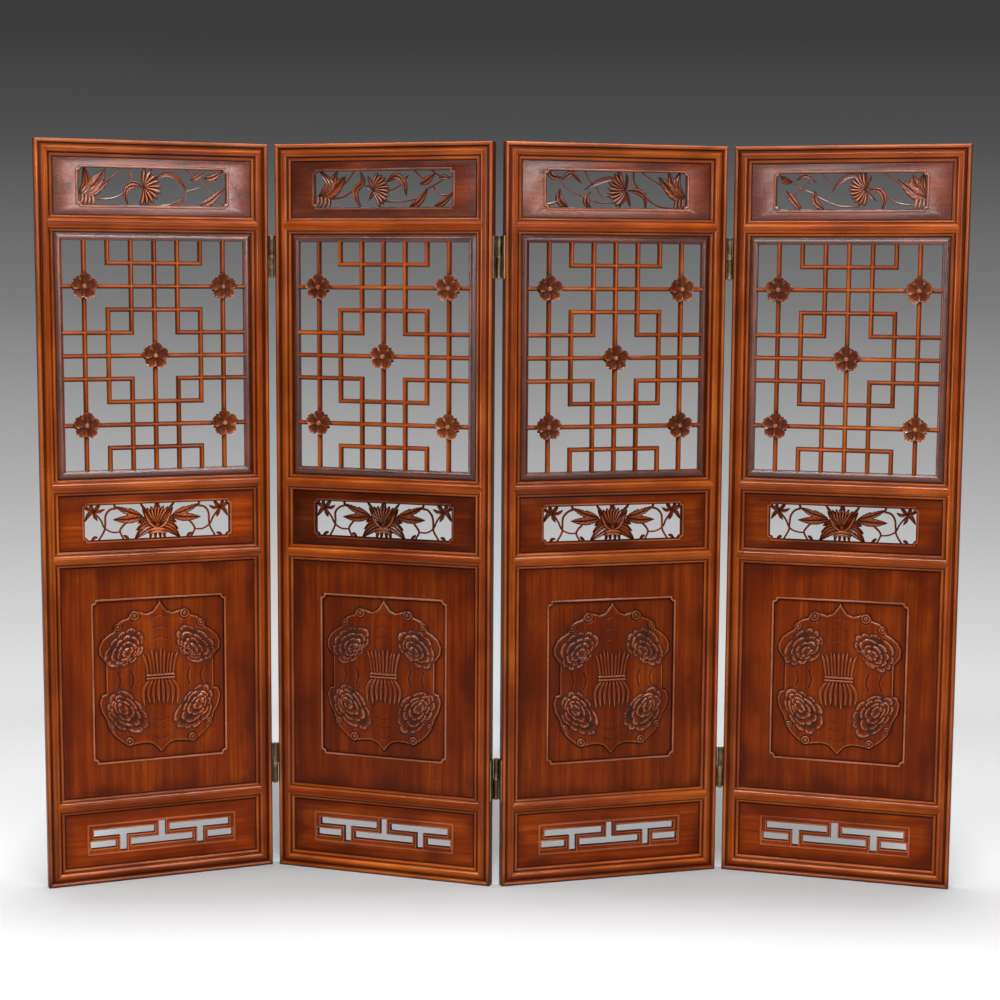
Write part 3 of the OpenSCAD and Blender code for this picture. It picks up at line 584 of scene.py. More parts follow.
def frame_section():
    """Stile or outer rail, from its outer edge inward: edge bead, hollow, main bead, lip, step."""
    front = [polar(EDGE_R, EDGE_R, EDGE_R, a) for a in np.radians(np.linspace(180, 270, 6))]
    front += [(5.4, 0.15), (7.0, 0.7), (8.5, 1.7), (9.7, 3.1), (10.5, 4.6), (11.2, 5.2),
              (12.3, 5.2)]
    front += bead(BEAD_FROM, BEAD_TO, BEAD_RISE, 0.0, 12)
    front += [(32.2, 5.9), (32.8, 6.3), (33.4, 5.7), (34.6, 5.2), (36.8, 5.4), (39.4, 6.2),
              (40.8, 7.2), (LIP_END, 8.3)]
    front += [(LIP_END, STEP_Y), (FRAME_W, STEP_Y)]
    return both_faces(front)


def rail_section():
    """Middle rail, its lower edge at 0, with a lip, a bead and a lip."""
    low = [(0.0, STEP_Y), (2.0, STEP_Y), (2.0, 8.3), (2.3, 7.2), (3.6, 6.2), (5.8, 5.4),
           (7.7, 5.2), (8.3, 6.2), (8.8, 5.9)]
    front = low + bead(RAIL_FOOT, RAIL_H - RAIL_FOOT, BEAD_RISE, 0.05, 12)
    front += [(RAIL_H - a, y) for a, y in reversed(low)]
    return both_faces(front)


def mirrored(section):
    return [(-a, y) for a, y in section]


def make_frame(k):
    corners = [(0, 0), (0, PANEL_H), (PANEL_W, PANEL_H), (PANEL_W, 0)]
    outer = mirrored(frame_section())
    names = ["left_stile", "top_rail", "right_stile", "bottom_rail"]
    for i, name in enumerate(names):
        form = Form(FOOT_TONE if name == "bottom_rail" else 1.0, FRAME_POLISH)
        segment(form, corners[i], corners[(i + 1) % 4], outer, corners[i - 1], corners[(i + 2) % 4])
        piece(f"{name}_of_{k}", form, k, FRAME_WOOD, f"{name}_{k}")
    form = Form(RAIL_TONE, FRAME_POLISH)
    for z in RAILS:
        segment(form, (CREST_X, z), (PANEL_W - CREST_X, z), rail_section())
    piece(f"middle_rails_of_{k}", form, k, FRAME_WOOD, f"middle_rails_{k}")


# Carving: leaves, petals and vines

CARVING_Y = 12.4
LEAF_STEPS, LEAF_ACROSS = 18, 5
RIBS = {"ribs": 3, "petal": 1}
LEAF_LIFT, LEAF_BACK, LEAF_BELLY, LEAST_HALF = 3.6, 3.0, 1.6, 0.35
VINE_END, STAGGER, PETAL_BEHIND = 0.8, 0.5, 0.9


def outline_of(kind, s):
    """Half width along a leaf, from 0 to 1."""
    if kind == "petal":
        return np.sqrt(np.clip(s, 0, 1)) ** 1.2 * np.sqrt(np.clip(1 - s**5, 0, 1))
    if kind == "band":
        return np.clip(np.sin(pi * s), 0, 1) ** 0.25
    return np.clip(np.sin(pi * s**0.85), 0, 1) ** 0.8


def surface_of(kind, s, t):
    """Height of a leaf's face, from 0 to 1, at s along it and t across it."""
    round_off = np.sqrt(np.clip(1 - t**4, 0, 1))
    if kind in RIBS:
        return round_off * (0.64 + 0.36 * np.cos(pi * (RIBS[kind] * (t + 1) - 1)))
    if kind == "cup":
        rolled = np.sqrt(np.clip(1 - t**8, 0, 1))
        return rolled * (0.28 + 0.72 * np.abs(t) ** 1.5) + 0.30 * np.exp(-((t / 0.16) ** 2))
    if kind == "band":
        return round_off
    groove = 0.5 * np.exp(-((t / 0.13) ** 2))
    veins = 0.24 * np.cos(2 * pi * (6 * s - 1.3 * np.abs(t))) * np.abs(t) ** 0.7
    return round_off * (0.55 + 0.40 * np.abs(t)) - groove + veins


def leaf(form, spine, width, kind, depth=0.0, lift=LEAF_LIFT, teeth=0):
    """A carved leaf or petal along a curve, front and back."""
    n = LEAF_STEPS + 1
    m = 2 * max(LEAF_ACROSS, 2 * RIBS.get(kind, 0)) + 1
    line, across = bent(spine, n)
    s, t = np.linspace(0, 1, n), np.linspace(-1, 1, m)
    half = np.maximum(width / 2 * outline_of(kind, s), LEAST_HALF)
    if teeth:
        half = half * (1 - 0.42 * ((s * teeth) % 1.0) * (s < 0.95))
    grid_s, grid_t = np.meshgrid(s, t, indexing="ij")
    flat = line[:, None, :] + across[:, None, :] * (half[:, None] * t[None, :])[:, :, None]
    swell = np.clip(np.sin(pi * np.clip(grid_s, 0.06, 0.97)), 0, 1) ** 0.35
    high = surface_of(kind, grid_s, grid_t) * swell
    front = CARVING_Y + depth - lift * high
    back = CARVING_Y + depth + LEAF_BACK + LEAF_BELLY * (1 - grid_t**2) * swell
    points = np.vstack([upright(flat, y) for y in (front, back)])
    length = np.repeat(np.linspace(0, np.linalg.norm(line[-1] - line[0]), n), m)
    side = (half[:, None] * t[None, :]).reshape(-1)
    grain = np.column_stack([np.tile(length, 2), np.tile(side, 2), points[:, 1]])
    raised = (high - 0.52).reshape(-1) * 2.8
    form.add(points, two_sided(n, m), grain, np.concatenate([raised, np.full(n * m, -0.1)]))


def vine(form, points, radius):
    """A round stem along a curve, thinner at its end."""
    steps, sides = 8 * (len(points) - 1) + 4, 8
    line, across = bent(points, steps + 1)
    radii = radius * np.linspace(1, VINE_END, steps + 1)
    turn = 2 * pi * (np.arange(sides) + 0.5) / sides
    side = np.outer(radii, np.cos(turn))
    y = CARVING_Y + 1.0 - 1.25 * np.outer(radii, np.sin(turn))
    made = upright(line[:, None] + across[:, None] * side[:, :, None], y)
    grain = np.column_stack([np.repeat(4.0 * np.arange(steps + 1), sides), side.ravel(), y.ravel()])
    form.add(made, tube(steps + 1, sides), grain)


def fan(form, heart, start, end, count, reach, width, depth=0.0):
    """Petals round a heart, each second one a little behind."""
    for i in range(count):
        a = radians(start + (end - start) * i / (count - 1))
        spine = [heart, polar(*heart, 0.55 * reach, a + 0.10), polar(*heart, reach, a)]
        leaf(form, spine, width, "petal", depth=depth + PETAL_BEHIND * (i % 2))


def lathe(form, x, z, profile, sides=20, relief=0.0):
    """A round boss about a line along Y. Its profile of (radius, depth) starts and ends at 0."""
    points = [(x, profile[0][1], z)]
    for r, y in profile[1:-1]:
        for j in range(sides):
            a = 2 * pi * j / sides
            points.append((x + r * cos(a), y, z + r * sin(a)))
    points.append((x, profile[-1][1], z))
    faces, last = [], len(points) - 1
    end = last - sides
    for j in range(sides):
        after = (j + 1) % sides
        faces += [(0, 1 + j, 1 + after), (last, end + after, end + j)]
        for b in range(1, end, sides):
            faces.append((b + j, b + sides + j, b + sides + after, b + after))
    form.add(points, faces, relief=np.full(len(points), relief))


# Carving of the top boards: each lotus's heart, and its petals' start and end angle, count, reach
# and width. Then the leaves and stems about it by their kind, each a width and its points. Heights
# are over SPRAY_Z.
SPRAY_Z = 1600.0
SPRAYS = {
    1: ((257, 90), (-98, 84, 10, 44, 14), [
        ("ribs", (25, (106, 71), (123, 96), (116, 137))),
        ("vein", (36, (110, 71), (140, 92), (168, 133)), (24, (112, 70), (142, 81), (180, 109))),
        ("band",
            (7, (106, 48), (112, 60), (112, 73)), (7, (115, 47), (120, 60), (120, 74)),
            (7, (125, 46), (129, 59), (128, 72)), (7, (135, 46), (138, 58), (135, 70))),
        ("vine",
            (2.2, (176, 109), (190, 122), (210, 138)), (2.2, (136, 60), (185, 64), (222, 84)),
            (2.8, (214, 138), (229, 122), (226, 106), (221, 97))),
        ("vein",
            (14, (256, 90), (228, 92), (214, 76), (220, 46)),
            (10, (254, 92), (234, 101), (217, 95))),
        ("cup",
            (8, (258, 94), (258, 110), (254, 129)), (7, (262, 96), (268, 116), (281, 137)),
            (13, (286, 110), (310, 122), (336, 116), (352, 100), (362, 81))),
        ("vine", (2.2, (358, 90), (360, 68), (346, 53), (316, 50), (288, 45))),
        ("vein",
            (9, (318, 50), (340, 56), (355, 68)), (14, (371, 108), (388, 117), (404, 129)),
            (17, (404, 114), (425, 117), (456, 135)), (10, (406, 112), (424, 109), (438, 114))),
        ("vine", (2.4, (356, 138), (385, 113), (405, 98), (428, 73))),
        ("vein", (19, (393, 48), (422, 62), (456, 93))),
        ("vine", (2.2, (432, 74), (454, 48)), (1.8, (358, 82), (382, 88), (404, 98))),
    ]),
    2: ((252, 88), (-66, 74, 10, 44, 12.5), [
        ("ribs", (24, (112, 74), (142, 100), (113, 138))),
        ("vein", (28, (116, 73), (142, 98), (160, 134)), (34, (116, 72), (150, 90), (182, 122))),
        ("band",
            (7, (106, 50), (112, 62), (110, 75)), (7, (116, 48), (121, 62), (119, 76)),
            (7, (126, 47), (131, 60), (128, 74)), (7, (137, 46), (141, 58), (137, 71))),
        ("vine", (2.4, (178, 102), (192, 116), (208, 138)), (2.8, (138, 68), (175, 72), (206, 90))),
        ("vein", (16, (221, 133), (226, 108), (208, 88), (212, 64), (224, 45))),
        ("cup",
            (11, (254, 90), (246, 106), (240, 122)), (9, (254, 89), (243, 94), (232, 100)),
            (10, (254, 86), (249, 76), (245, 64))),
        ("vein",
            (18, (286, 106), (312, 121), (332, 104), (339, 74)),
            (8, (322, 112), (334, 114), (345, 123))),
        ("vine", (2.2, (290, 90), (306, 90), (325, 100)), (2.0, (276, 62), (330, 61), (368, 68))),
        ("vein", (18, (346, 46), (372, 62), (394, 93)), (18, (374, 101), (392, 111), (412, 127))),
        ("vine", (2.4, (388, 88), (412, 100), (432, 112))),
        ("vein", (14, (422, 116), (434, 118), (449, 114))),
        ("vine",
            (2.2, (354, 138), (372, 122), (388, 108)), (2.2, (398, 138), (414, 126), (430, 118)),
            (2.0, (444, 116), (460, 122)), (2.2, (406, 96), (430, 76), (460, 78))),
        ("vein", (16, (408, 46), (434, 60), (458, 84))),
    ]),
    3: ((304, 92), (112, 236, 9, 48, 13), [
        ("ribs", (24, (454, 74), (432, 102), (442, 138))),
        ("vein", (34, (452, 71), (424, 88), (386, 124)), (24, (452, 72), (426, 100), (412, 136))),
        ("band",
            (7, (428, 46), (430, 58), (433, 70)), (7, (438, 46), (439, 60), (442, 72)),
            (7, (448, 47), (448, 60), (450, 73))),
        ("vine",
            (2.4, (336, 139), (360, 122), (392, 104)), (2.4, (344, 82), (382, 56), (432, 48)),
            (3.0, (324, 138), (324, 112), (338, 90))),
        ("vein", (16, (306, 91), (334, 88), (352, 74), (353, 45))),
        ("cup",
            (12, (303, 90), (292, 72), (272, 58)), (11, (304, 89), (298, 68), (287, 48)),
            (11, (305, 89), (310, 70), (314, 50)), (9, (304, 94), (307, 112), (304, 131)),
            (7, (300, 96), (290, 116), (281, 137)),
            (13, (300, 111), (262, 117), (230, 108), (196, 89))),
        ("vein",
            (16, (214, 45), (203, 65), (214, 86)), (20, (158, 46), (137, 66), (137, 93)),
            (15, (142, 113), (166, 127), (190, 106)), (16, (104, 138), (120, 121), (142, 119))),
        ("vine",
            (2.2, (134, 116), (156, 92), (206, 68)), (2.2, (198, 139), (210, 114), (220, 103)),
            (2.0, (228, 98), (240, 78), (262, 76)), (1.9, (206, 68), (240, 60), (284, 62)),
            (2.8, (98, 54), (120, 58), (138, 68))),
    ]),
    4: ((316, 97), (100, 262, 11, 42, 12.5), [
        ("ribs", (22, (462, 76), (446, 104), (453, 136))),
        ("vein", (30, (458, 74), (430, 86), (388, 120)), (30, (458, 76), (432, 104), (424, 130))),
        ("band",
            (7, (430, 48), (434, 61), (436, 73)), (7, (440, 47), (443, 61), (445, 74)),
            (7, (451, 47), (452, 61), (453, 74))),
        ("vine", (2.2, (350, 140), (372, 124), (396, 108)), (2.2, (352, 88), (388, 64), (436, 56))),
        ("vein", (15, (318, 97), (348, 92), (359, 72), (354, 45))),
        ("cup",
            (9, (317, 98), (322, 112), (329, 128)), (12, (315, 94), (312, 74), (298, 52)),
            (8, (318, 92), (328, 80), (340, 68)), (7, (314, 100), (318, 118), (312, 138)),
            (13, (306, 123), (276, 128), (251, 112), (234, 88))),
        ("vein",
            (17, (218, 46), (196, 66), (194, 94)), (17, (163, 45), (142, 70), (125, 94)),
            (13, (150, 118), (172, 130), (198, 111))),
        ("ribs", (17, (112, 128), (124, 117), (142, 113))),
        ("vine",
            (2.2, (138, 113), (162, 98), (196, 84)), (2.2, (182, 116), (158, 94), (140, 80)),
            (2.0, (206, 140), (222, 118), (244, 102)), (2.2, (200, 78), (250, 57), (302, 55)),
            (2.4, (100, 140), (112, 126))),
    ]),
}


def shapes_of(groups):
    """Kind, width and points of each shape in a carving's table."""
    return [(kind, size, points) for kind, *shapes in groups for size, *points in shapes]


def carve(form, kind, size, points, depth, teeth=0):
    if kind == "vine":
        vine(form, points, size)
    else:
        leaf(form, points, size, kind, depth=depth, teeth=teeth)


RIM_OUT = 6.0


def pierced_board(form, field):
    """Board with a moulding round its opening."""
    x, z, zc = OPENING_W / 2, OPENING_H / 2, middle_of(field)
    opening = notched(MID_X - x, zc - z, MID_X + x, zc + z, OPENING_R)
    plate(form, [field_outline(field), opening], 0.3)
    section = [(-1.6, 14.0), (-1.6, 9.6), (-0.6, 8.8), (0.2, 7.4)]
    section += bead(0.6, RIM_OUT - 0.4, 7.4, RIM_Y, 6) + [(RIM_OUT, 8.0), (RIM_OUT + 0.4, 9.0)]
    ring(form, opening, both_faces(section))


def make_top_board(k):
    form = Form(TOP_SHADING[k], TOP_POLISH[k])
    pierced_board(form, TOP_FIELD)
    form.tone, form.polish = TOP_SHADING[k] * CARVING_TONE, TOP_POLISH[k] / 2
    (x, z), petals, groups = SPRAYS[k]
    fan(form, (x, SPRAY_Z + z), *petals)
    for i, (kind, size, points) in enumerate(shapes_of(groups)):
        carve(form, kind, size, [(x, SPRAY_Z + z) for x, z in points], STAGGER * (i % 3))
    carved_piece("top_carved_board", form, k, TOP_FIELD)


# Right half of the middle boards' lotus, from the middle of its opening, by kind, each a width and
# points. The leaf of TOOTHED_W has teeth.
TOOTHED_W, TEETH, BAND_DEPTH, SHELL_DEPTH = 23, 8, -1.8, -1.2
LOTUS_HALF = [
    ("vein", (TOOTHED_W, (36, 12), (68, 21), (104, 37)), (21, (34, 10), (70, 5), (108, 5))),
    ("vine",
        (3.2, (103, 36), (106, 47)),
        (2.9, (100, 34), (116, 29), (127, 15), (128, -6), (130, -22), (146, -48)),
        (2.5, (152, 22), (138, 4), (129, -14), (112, -24), (92, -25)),
        (2.8, (78, -4), (88, -15), (92, -26), (82, -46))),
    ("cup",
        (8, (84, -33), (76, -38), (70, -47)), (8, (146, -36), (154, -38), (162, -47)),
        (10, (154, 27), (146, 36), (138, 47)), (10, (154, 27), (161, 37), (158, 48)),
        (10, (154, 27), (167, 32), (181, 40)), (11, (154, 27), (166, 20), (175, 4)),
        (9, (154, 27), (152, 14), (146, 3)), (9, (154, 27), (140, 26), (128, 33)),
        (8, (16, 10), (30, 28), (45, 48))),
    ("ribs",
        (24, (4, -10), (30, -20), (57, -44)), (19, (4, -7), (28, -10), (52, -23)),
        (17, (4, -3), (28, 2), (48, -6)), (16, (3, -4), (22, 10), (38, 30)),
        (14, (2, -4), (14, 12), (25, 33))),
    ("band", (5, (1, -19), (18, -8), (32, 22))),
    ("cup", (8, (15, -24), (16, -34), (19, -47)), (8, (6, -24), (6, -34), (7, -47))),
]
# The fan in the lotus's middle: its heart, then start and end angle, count, reach and width
SHELL = (0, -12), (60, 120, 6, 50, 10.5)
# The tip over the fan and the two bows under it
LOTUS_MIDDLE = [
    ("cup", (12, (-1, 32), (0, 48))),
    ("band", (8, (-23, -24), (0, -20), (23, -24)), (7, (-23, -31), (0, -27), (23, -31))),
]
MIDDLE_DEPTH = {"cup": 1.0, "band": -0.9}
MIDDLE_SEED = 40


def make_middle_board(k):
    form = Form(MIDDLE_SHADING[k])
    pierced_board(form, MID_FIELD)
    zc = middle_of(MID_FIELD)
    chance = random.Random(MIDDLE_SEED + k)
    for side in (-1, 1):
        for i, (kind, size, points) in enumerate(shapes_of(LOTUS_HALF)):
            placed = [(MID_X + side * (x + chance.uniform(-1, 1)), zc + z + chance.uniform(-1, 1))
                      for x, z in points]
            front = BAND_DEPTH if kind == "band" else STAGGER * (i % 3)
            carve(form, kind, size, placed, front, teeth=TEETH if size == TOOTHED_W else 0)
    (x, z), petals = SHELL
    heart = (MID_X + x, zc + z)
    fan(form, heart, *petals, SHELL_DEPTH)
    for kind, size, points in shapes_of(LOTUS_MIDDLE):
        carve(form, kind, size, [(MID_X + x, zc + z) for x, z in points], MIDDLE_DEPTH[kind])
    boss = [(0, 7.4), (3.0, 7.8), (5.4, 9.6), (6.0, 12.0), (6.0, 15.0), (0, 15.0)]
    lathe(form, *heart, boss)
    carved_piece("middle_carved_board", form, k, MID_FIELD)


# Lattice

COLUMN, ROW = 56.0, 55.2
LATTICE_MID_Z = middle_of(LATTICE_FIELD)
HALF_W, HALF_H = 219.0, 274.0
INTO_FRAME = 3.0
# BAR_SHADE lowers the bars' relief, so they are drawn darker at their sides and less pale in front:
# painted shade.
BAR_W, BAR_FRONT, BAR_SHADE = 11.0, 6.3, -0.25
LATTICE_BAND = 18.0


def bar_section():
    """An almost round bar, flatter at its sides."""
    front = [(-BAR_W / 2, 12.0), *bead(-BAR_W / 2 + 0.15, BAR_W / 2 - 0.15, 10.6, BAR_FRONT, 8),
             (BAR_W / 2, 12.0)]
    return both_faces(front)


def cell(c, r):
    """Place of a grid crossing. Beyond the last row or column it is in the lattice's own frame."""
    x = c * COLUMN if abs(c) < 5 else copysign(HALF_W + INTO_FRAME, c)
    z = r * ROW if abs(r) < 5 else copysign(HALF_H + INTO_FRAME, r)
    return (MID_X + x, LATTICE_MID_Z + z)


def make_lattice(k):
    form = Form(1.0, FRAME_POLISH)
    section = bar_section()
    lines = [[(0, -9), (0, 9)], [(-9, 0), (9, 0)]]
    for s in (-1, 1):
        lines += [[(3 * s, -9), (3 * s, 9)], [(-9, 3 * s), (9, 3 * s)]]
        lines.append([(-2, 9 * s), (-2, 4 * s), (2, 4 * s), (2, 9 * s)])
        for t in (-1, 1):
            lines.append([(s, 9 * t), (s, t), (9 * s, t)])
    for line in lines:
        path(form, [cell(c, r) for c, r in line], section, bias=BAR_SHADE)
    path(form, [cell(-2, -2), cell(2, -2), cell(2, 2), cell(-2, 2)], section, True, BAR_SHADE)
    piece(f"lattice_bars_of_{k}", form, k, FRAME_WOOD, f"lattice_{k}")
    form = Form(BAND_TONE * BOARD_SHADING[k], BAND_POLISH[k])
    band = [(0, 9.2), (1.2, 8.3), (3.4, 7.6), (4.6, 6.4), (7.5, 6.0), (10.5, 6.1), (13.0, 6.7),
            (14.2, 7.9), (16.6, 8.2), (LATTICE_BAND - 0.5, 9.2)]
    path(form, field_outline(LATTICE_FIELD), both_faces(band), closed=True)
    piece(f"lattice_frame_of_{k}", form, k, CARVED_WOOD, f"lattice_{k}",
          field=LATTICE_FIELD)


# Plum flowers

FLOWER_CELLS = [(0, 0), (-3, -3), (3, -3), (-3, 3), (3, 3)]
PETAL_FROM, PETAL_TO, PETAL_HALF = 5.0, 33.0, 17.5
PETAL_FLOOR, PETAL_RISE, FLOWER_BACK = 5.9, 5.0, 14.5
SEPAL_REACH, SEPAL_W, SEPAL_LIFT = 29.0, 15.0, 2.4
HEART_HIGHLIGHT, DOT_RING = 1.15, 3.7
FLOWER_SEED, FLOWER_TURN = 70, 8


def petal(form, x, z, angle, chance):
    """A deeply cupped plum petal: ragged notched tip, raised rim, one edge over its neighbour."""
    n, m = 10, 13
    s, t = np.meshgrid(np.linspace(0, 1, n), np.linspace(-1, 1, m), indexing="ij")
    reach = PETAL_TO - PETAL_FROM + chance.uniform(-1.5, 0)
    ragged = chance.uniform(0.6, 1.4) * np.cos((3.4 + chance.random()) * pi * t + chance.random())
    notch = (2.4 * np.exp(-((t / 0.16) ** 2)) + ragged) * s**5
    bow = np.sqrt(np.clip(1 - (0.95 * np.abs(t)) ** 2.4, 0, 1))
    along = PETAL_FROM + reach * s * (0.40 + 0.60 * bow) - notch
    half = PETAL_HALF * np.sin(np.clip(0.20 + 0.98 * s, 0, 1.35)) / sin(1.35)
    side = half * t * (1 - 0.16 * s**3)
    rim = np.maximum(s**4.5, np.abs(t) ** 3.6 * np.clip(s * 1.8, 0, 1))
    fold = 0.9 * t * np.clip(s * 1.5, 0, 1)
    ribs = 0.30 * np.cos(6 * pi * t) * s * (1 - s) * 4
    front = PETAL_FLOOR - PETAL_RISE * rim - 1.2 * (1 - s) ** 3 - fold + ribs
    front = np.clip(front, 0.8, PETAL_FLOOR + 0.2)
    back = np.minimum(front + 3.2, FLOWER_BACK) + 1.2
    a = radians(angle)
    px = x + along * cos(a) - side * sin(a)
    pz = z + along * sin(a) + side * cos(a)
    points = np.vstack([upright(np.dstack([px, pz]), y) for y in (front, back)])
    raised = ((rim - 0.48) * 2.2 - 1.5 * ribs).reshape(-1)
    form.add(points, two_sided(n, m), along_z(points),
             np.concatenate([raised, np.full(n * m, -0.2)]))


def make_flowers(k):
    form = Form(FLOWER_TONE, FLOWER_POLISH)
    chance = random.Random(FLOWER_SEED + k)
    boss = [(0, 1.2), (2.2, 1.4), (4.6, 2.2), (6.2, 3.8), (6.8, 6.0), (6.8, 13.0), (0, 13.0)]
    dot = [(0, 0.7), (1.2, 0.9), (1.7, 1.8), (1.7, 4.0), (0, 4.0)]
    for c, r in FLOWER_CELLS:
        x, z = cell(c, r)
        turn = 90 + chance.uniform(-FLOWER_TURN, FLOWER_TURN)
        for i in range(5):
            petal(form, x, z, turn + 72 * i, chance)
            tip = polar(x, z, SEPAL_REACH, radians(turn + 72 * i + 36))
            middle = ((x + tip[0]) / 2, (z + tip[1]) / 2)
            leaf(form, [(x, z), middle, tip], SEPAL_W, "vein", lift=SEPAL_LIFT)
        # Hearts and their dots are drawn lighter all over, by their tone and full relief: a painted
        # highlight.
        form.tone = HEART_HIGHLIGHT
        lathe(form, x, z, boss, relief=1.0)
        for i in range(6):
            lathe(form, *polar(x, z, DOT_RING, radians(60 * i + 20)), dot, 8, relief=1.0)
        form.tone = FLOWER_TONE
    piece(f"flowers_of_{k}", form, k, FRAME_WOOD, f"flowers_{k}")


# Relief board: a field of heights over the sunk ground

SUNK_X = (117.5, 442.5)
SUNK_Z = (299.0, 699.0)
SUNK_CORNER = 10.0
RELIEF_STEP = 1.6
RELIEF_MARGIN = 6.0
GROUND_Y, PLAQUE_RISE = 12.5, 4.5
FACE_RISE = GROUND_Y - BOARD_FRONT
CENTRE_X, CENTRE_Z = 281.0, 499.0
RELIEF_SEED = 6
# How far inside its outline the plaque rises, dips and comes up again, and how deep it dips
PLAQUE_EDGE, DIP_FROM, DIP_TO, PLAQUE_DIP = (-0.8, 3.4), (5, 12), (16, 30), 0.9

# Left half of the plaque's outline from its top point to its foot: (left of the middle, height)
PLAQUE_LEFT = [
    (0, 697), (6, 684), (18, 668), (32, 663), (50, 668), (64, 671), (74, 664), (79, 654),
    (92, 650), (104, 643), (112, 633), (115, 622), (128, 614), (142, 602), (151, 584), (150, 566),
    (138, 550), (134, 545), (134, 470), (145, 466), (151, 448), (146, 424), (134, 402),
    (130, 386), (124, 372), (112, 358), (98, 346), (88, 338), (78, 333), (60, 337),
    (36, 339), (20, 334), (8, 322), (0, 311),
]

# Rolled ends in the plaque's left half: place from the middle line, height and radius
CURLS = [(-62, 658, 12.5), (-103, 632, 10), (-120, 383, 9), (-78, 346, 11)]

# Peonies of the left half: middle, half axes, tilt in degrees, and the heart's place in it
PEONIES = [
    {"at": (-87, 79), "half": (56, 38), "tilt": 42, "heart": (-80, 70)},
    {"at": (-84, -80), "half": (62, 40), "tilt": -52, "heart": (-94, -70)},
]


def outline_points():
    left = [(CENTRE_X - x, z) for x, z in PLAQUE_LEFT]
    right = [(CENTRE_X + x, z) for x, z in reversed(PLAQUE_LEFT[1:-1])]
    return np.array(left + right, float)


def off_line(x, z, a, b):
    """How far along the line from a to b each grid point is, 0 to 1, and its distance from it."""
    dx, dz = b[0] - a[0], b[1] - a[1]
    t = np.clip(((x - a[0]) * dx + (z - a[1]) * dz) / (dx * dx + dz * dz), 0, 1)
    return t, np.hypot(x - a[0] - t * dx, z - a[1] - t * dz)


def inside_distance(x, z, loop):
    """Distance to a closed loop at each grid point, positive inside it."""
    best = np.full(x.shape, 1e9)
    inside = np.zeros(x.shape, bool)
    for a, b in zip(loop, np.roll(loop, -1, 0)):
        best = np.minimum(best, off_line(x, z, a, b)[1])
        level = (z - a[1]) / (b[1] - a[1] + 1e-12)
        inside ^= ((a[1] > z) != (b[1] > z)) & (x < (b[0] - a[0]) * level + a[0])
    return np.where(inside, best, -best)


def ease(v, low, high):
    t = np.clip((v - low) / (high - low), 0, 1)
    return t * t * (3 - 2 * t)


def stalk(h, x, z, line, widths, base, rise):
    """Raises a rounded stalk along a line, its half width given at each point."""
    pts = smooth(line, 12)
    wide = np.interp(np.linspace(0, 1, 12), np.linspace(0, 1, len(widths)), widths)
    for i in range(11):
        t, gap = off_line(x, z, pts[i], pts[i + 1])
        w = np.maximum(wide[i] + (wide[i + 1] - wide[i]) * t, 0.2)
        up = base + rise * np.sqrt(np.clip(1 - (gap / w) ** 2, 0, 1))
        np.copyto(h, np.maximum(h, np.where(gap < w, up, 0)))


def groove(h, x, z, line, width, depth):
    """Cuts a soft groove along a line."""
    pts = smooth(line, 14)
    gap = np.full(x.shape, 1e9)
    for a, b in zip(pts[:-1], pts[1:]):
        gap = np.minimum(gap, off_line(x, z, a, b)[1])
    h -= depth * np.exp(-((gap / width) ** 2))


def curl(h, x, z, at, r):
    """A rolled end: a disc with a ring groove round a raised eye."""
    near = np.hypot(x - at[0], z - at[1]) / r
    disc = PLAQUE_RISE + 1.0 - 2.0 * np.exp(-(((near - 0.52) / 0.15) ** 2))
    edge = ease(1 - near, 0, 0.25)
    np.copyto(h, disc * edge + h * (1 - edge))
    h -= np.where(h > 2, 1.3 * np.exp(-(((near - 1.05) / 0.13) ** 2)), 0)


# Sizes of a peony's rings of petals, the petals in each and its rise over the ground
PEONY_RINGS = [(1.0, 9, 3.8), (0.75, 7, 4.9), (0.51, 6, 5.9), (0.29, 4, 6.8)]

# Cuts beside the middle line of the plaque, mirrored: line, half width and depth
GROOVES = [
    ([(104, 482), (99, 500), (104, 518)], 2.2, 1.7),
    ([(72, 480), (67, 500), (72, 520)], 2.4, 2.0),
    ([(128, 470), (128, 548)], 1.6, 1.0),
    ([(136, 600), (143, 580), (138, 560)], 3.0, 0.8),
    ([(140, 460), (143, 440), (134, 420)], 3.0, 0.8),
]
# Bowed cuts across the middle line: their ends' height, and how far over it their middle lies
BOWS = [(652, 5), (624, 5), (597, 5), (400, -6), (379, -6), (354, -6)]
BOW_REACH, BOW_W, BOW_DEPTH = 18, 2.0, 0.9

# Tied bundle: how many stalks go up and down from its ties, how far apart the outer two are at
# the ties, at their widest and at the end, the heights of the same places, and half widths
STALKS_UP, FOOT_UP, SPREAD_UP = 9, 60, 86
STALKS_DOWN, FOOT_DOWN, WIDEST_DOWN, SPREAD_DOWN = 8, 52, 86, 80
FOOT_UP_Z, WIDEST_UP_Z, TOP_Z = 508, 540, 574
FOOT_DOWN_Z, WIDEST_DOWN_Z, TIP_Z = 500, 470, 430
WIDTHS_UP, WIDTHS_DOWN, TIE_WIDTHS = [3.6, 4.2, 5.0, 0.8], [2.8, 5.6, 5.4, 0.8], [3.4, 3.6, 3.4]
STALK_BASE, TIE_BASE = PLAQUE_RISE - 0.8, PLAQUE_RISE + 1.4
TIE_ZS, TIE_LEFT, TIE_RIGHT, TIE_RISE = (500.5, 508.0), 32, 33, 2.6


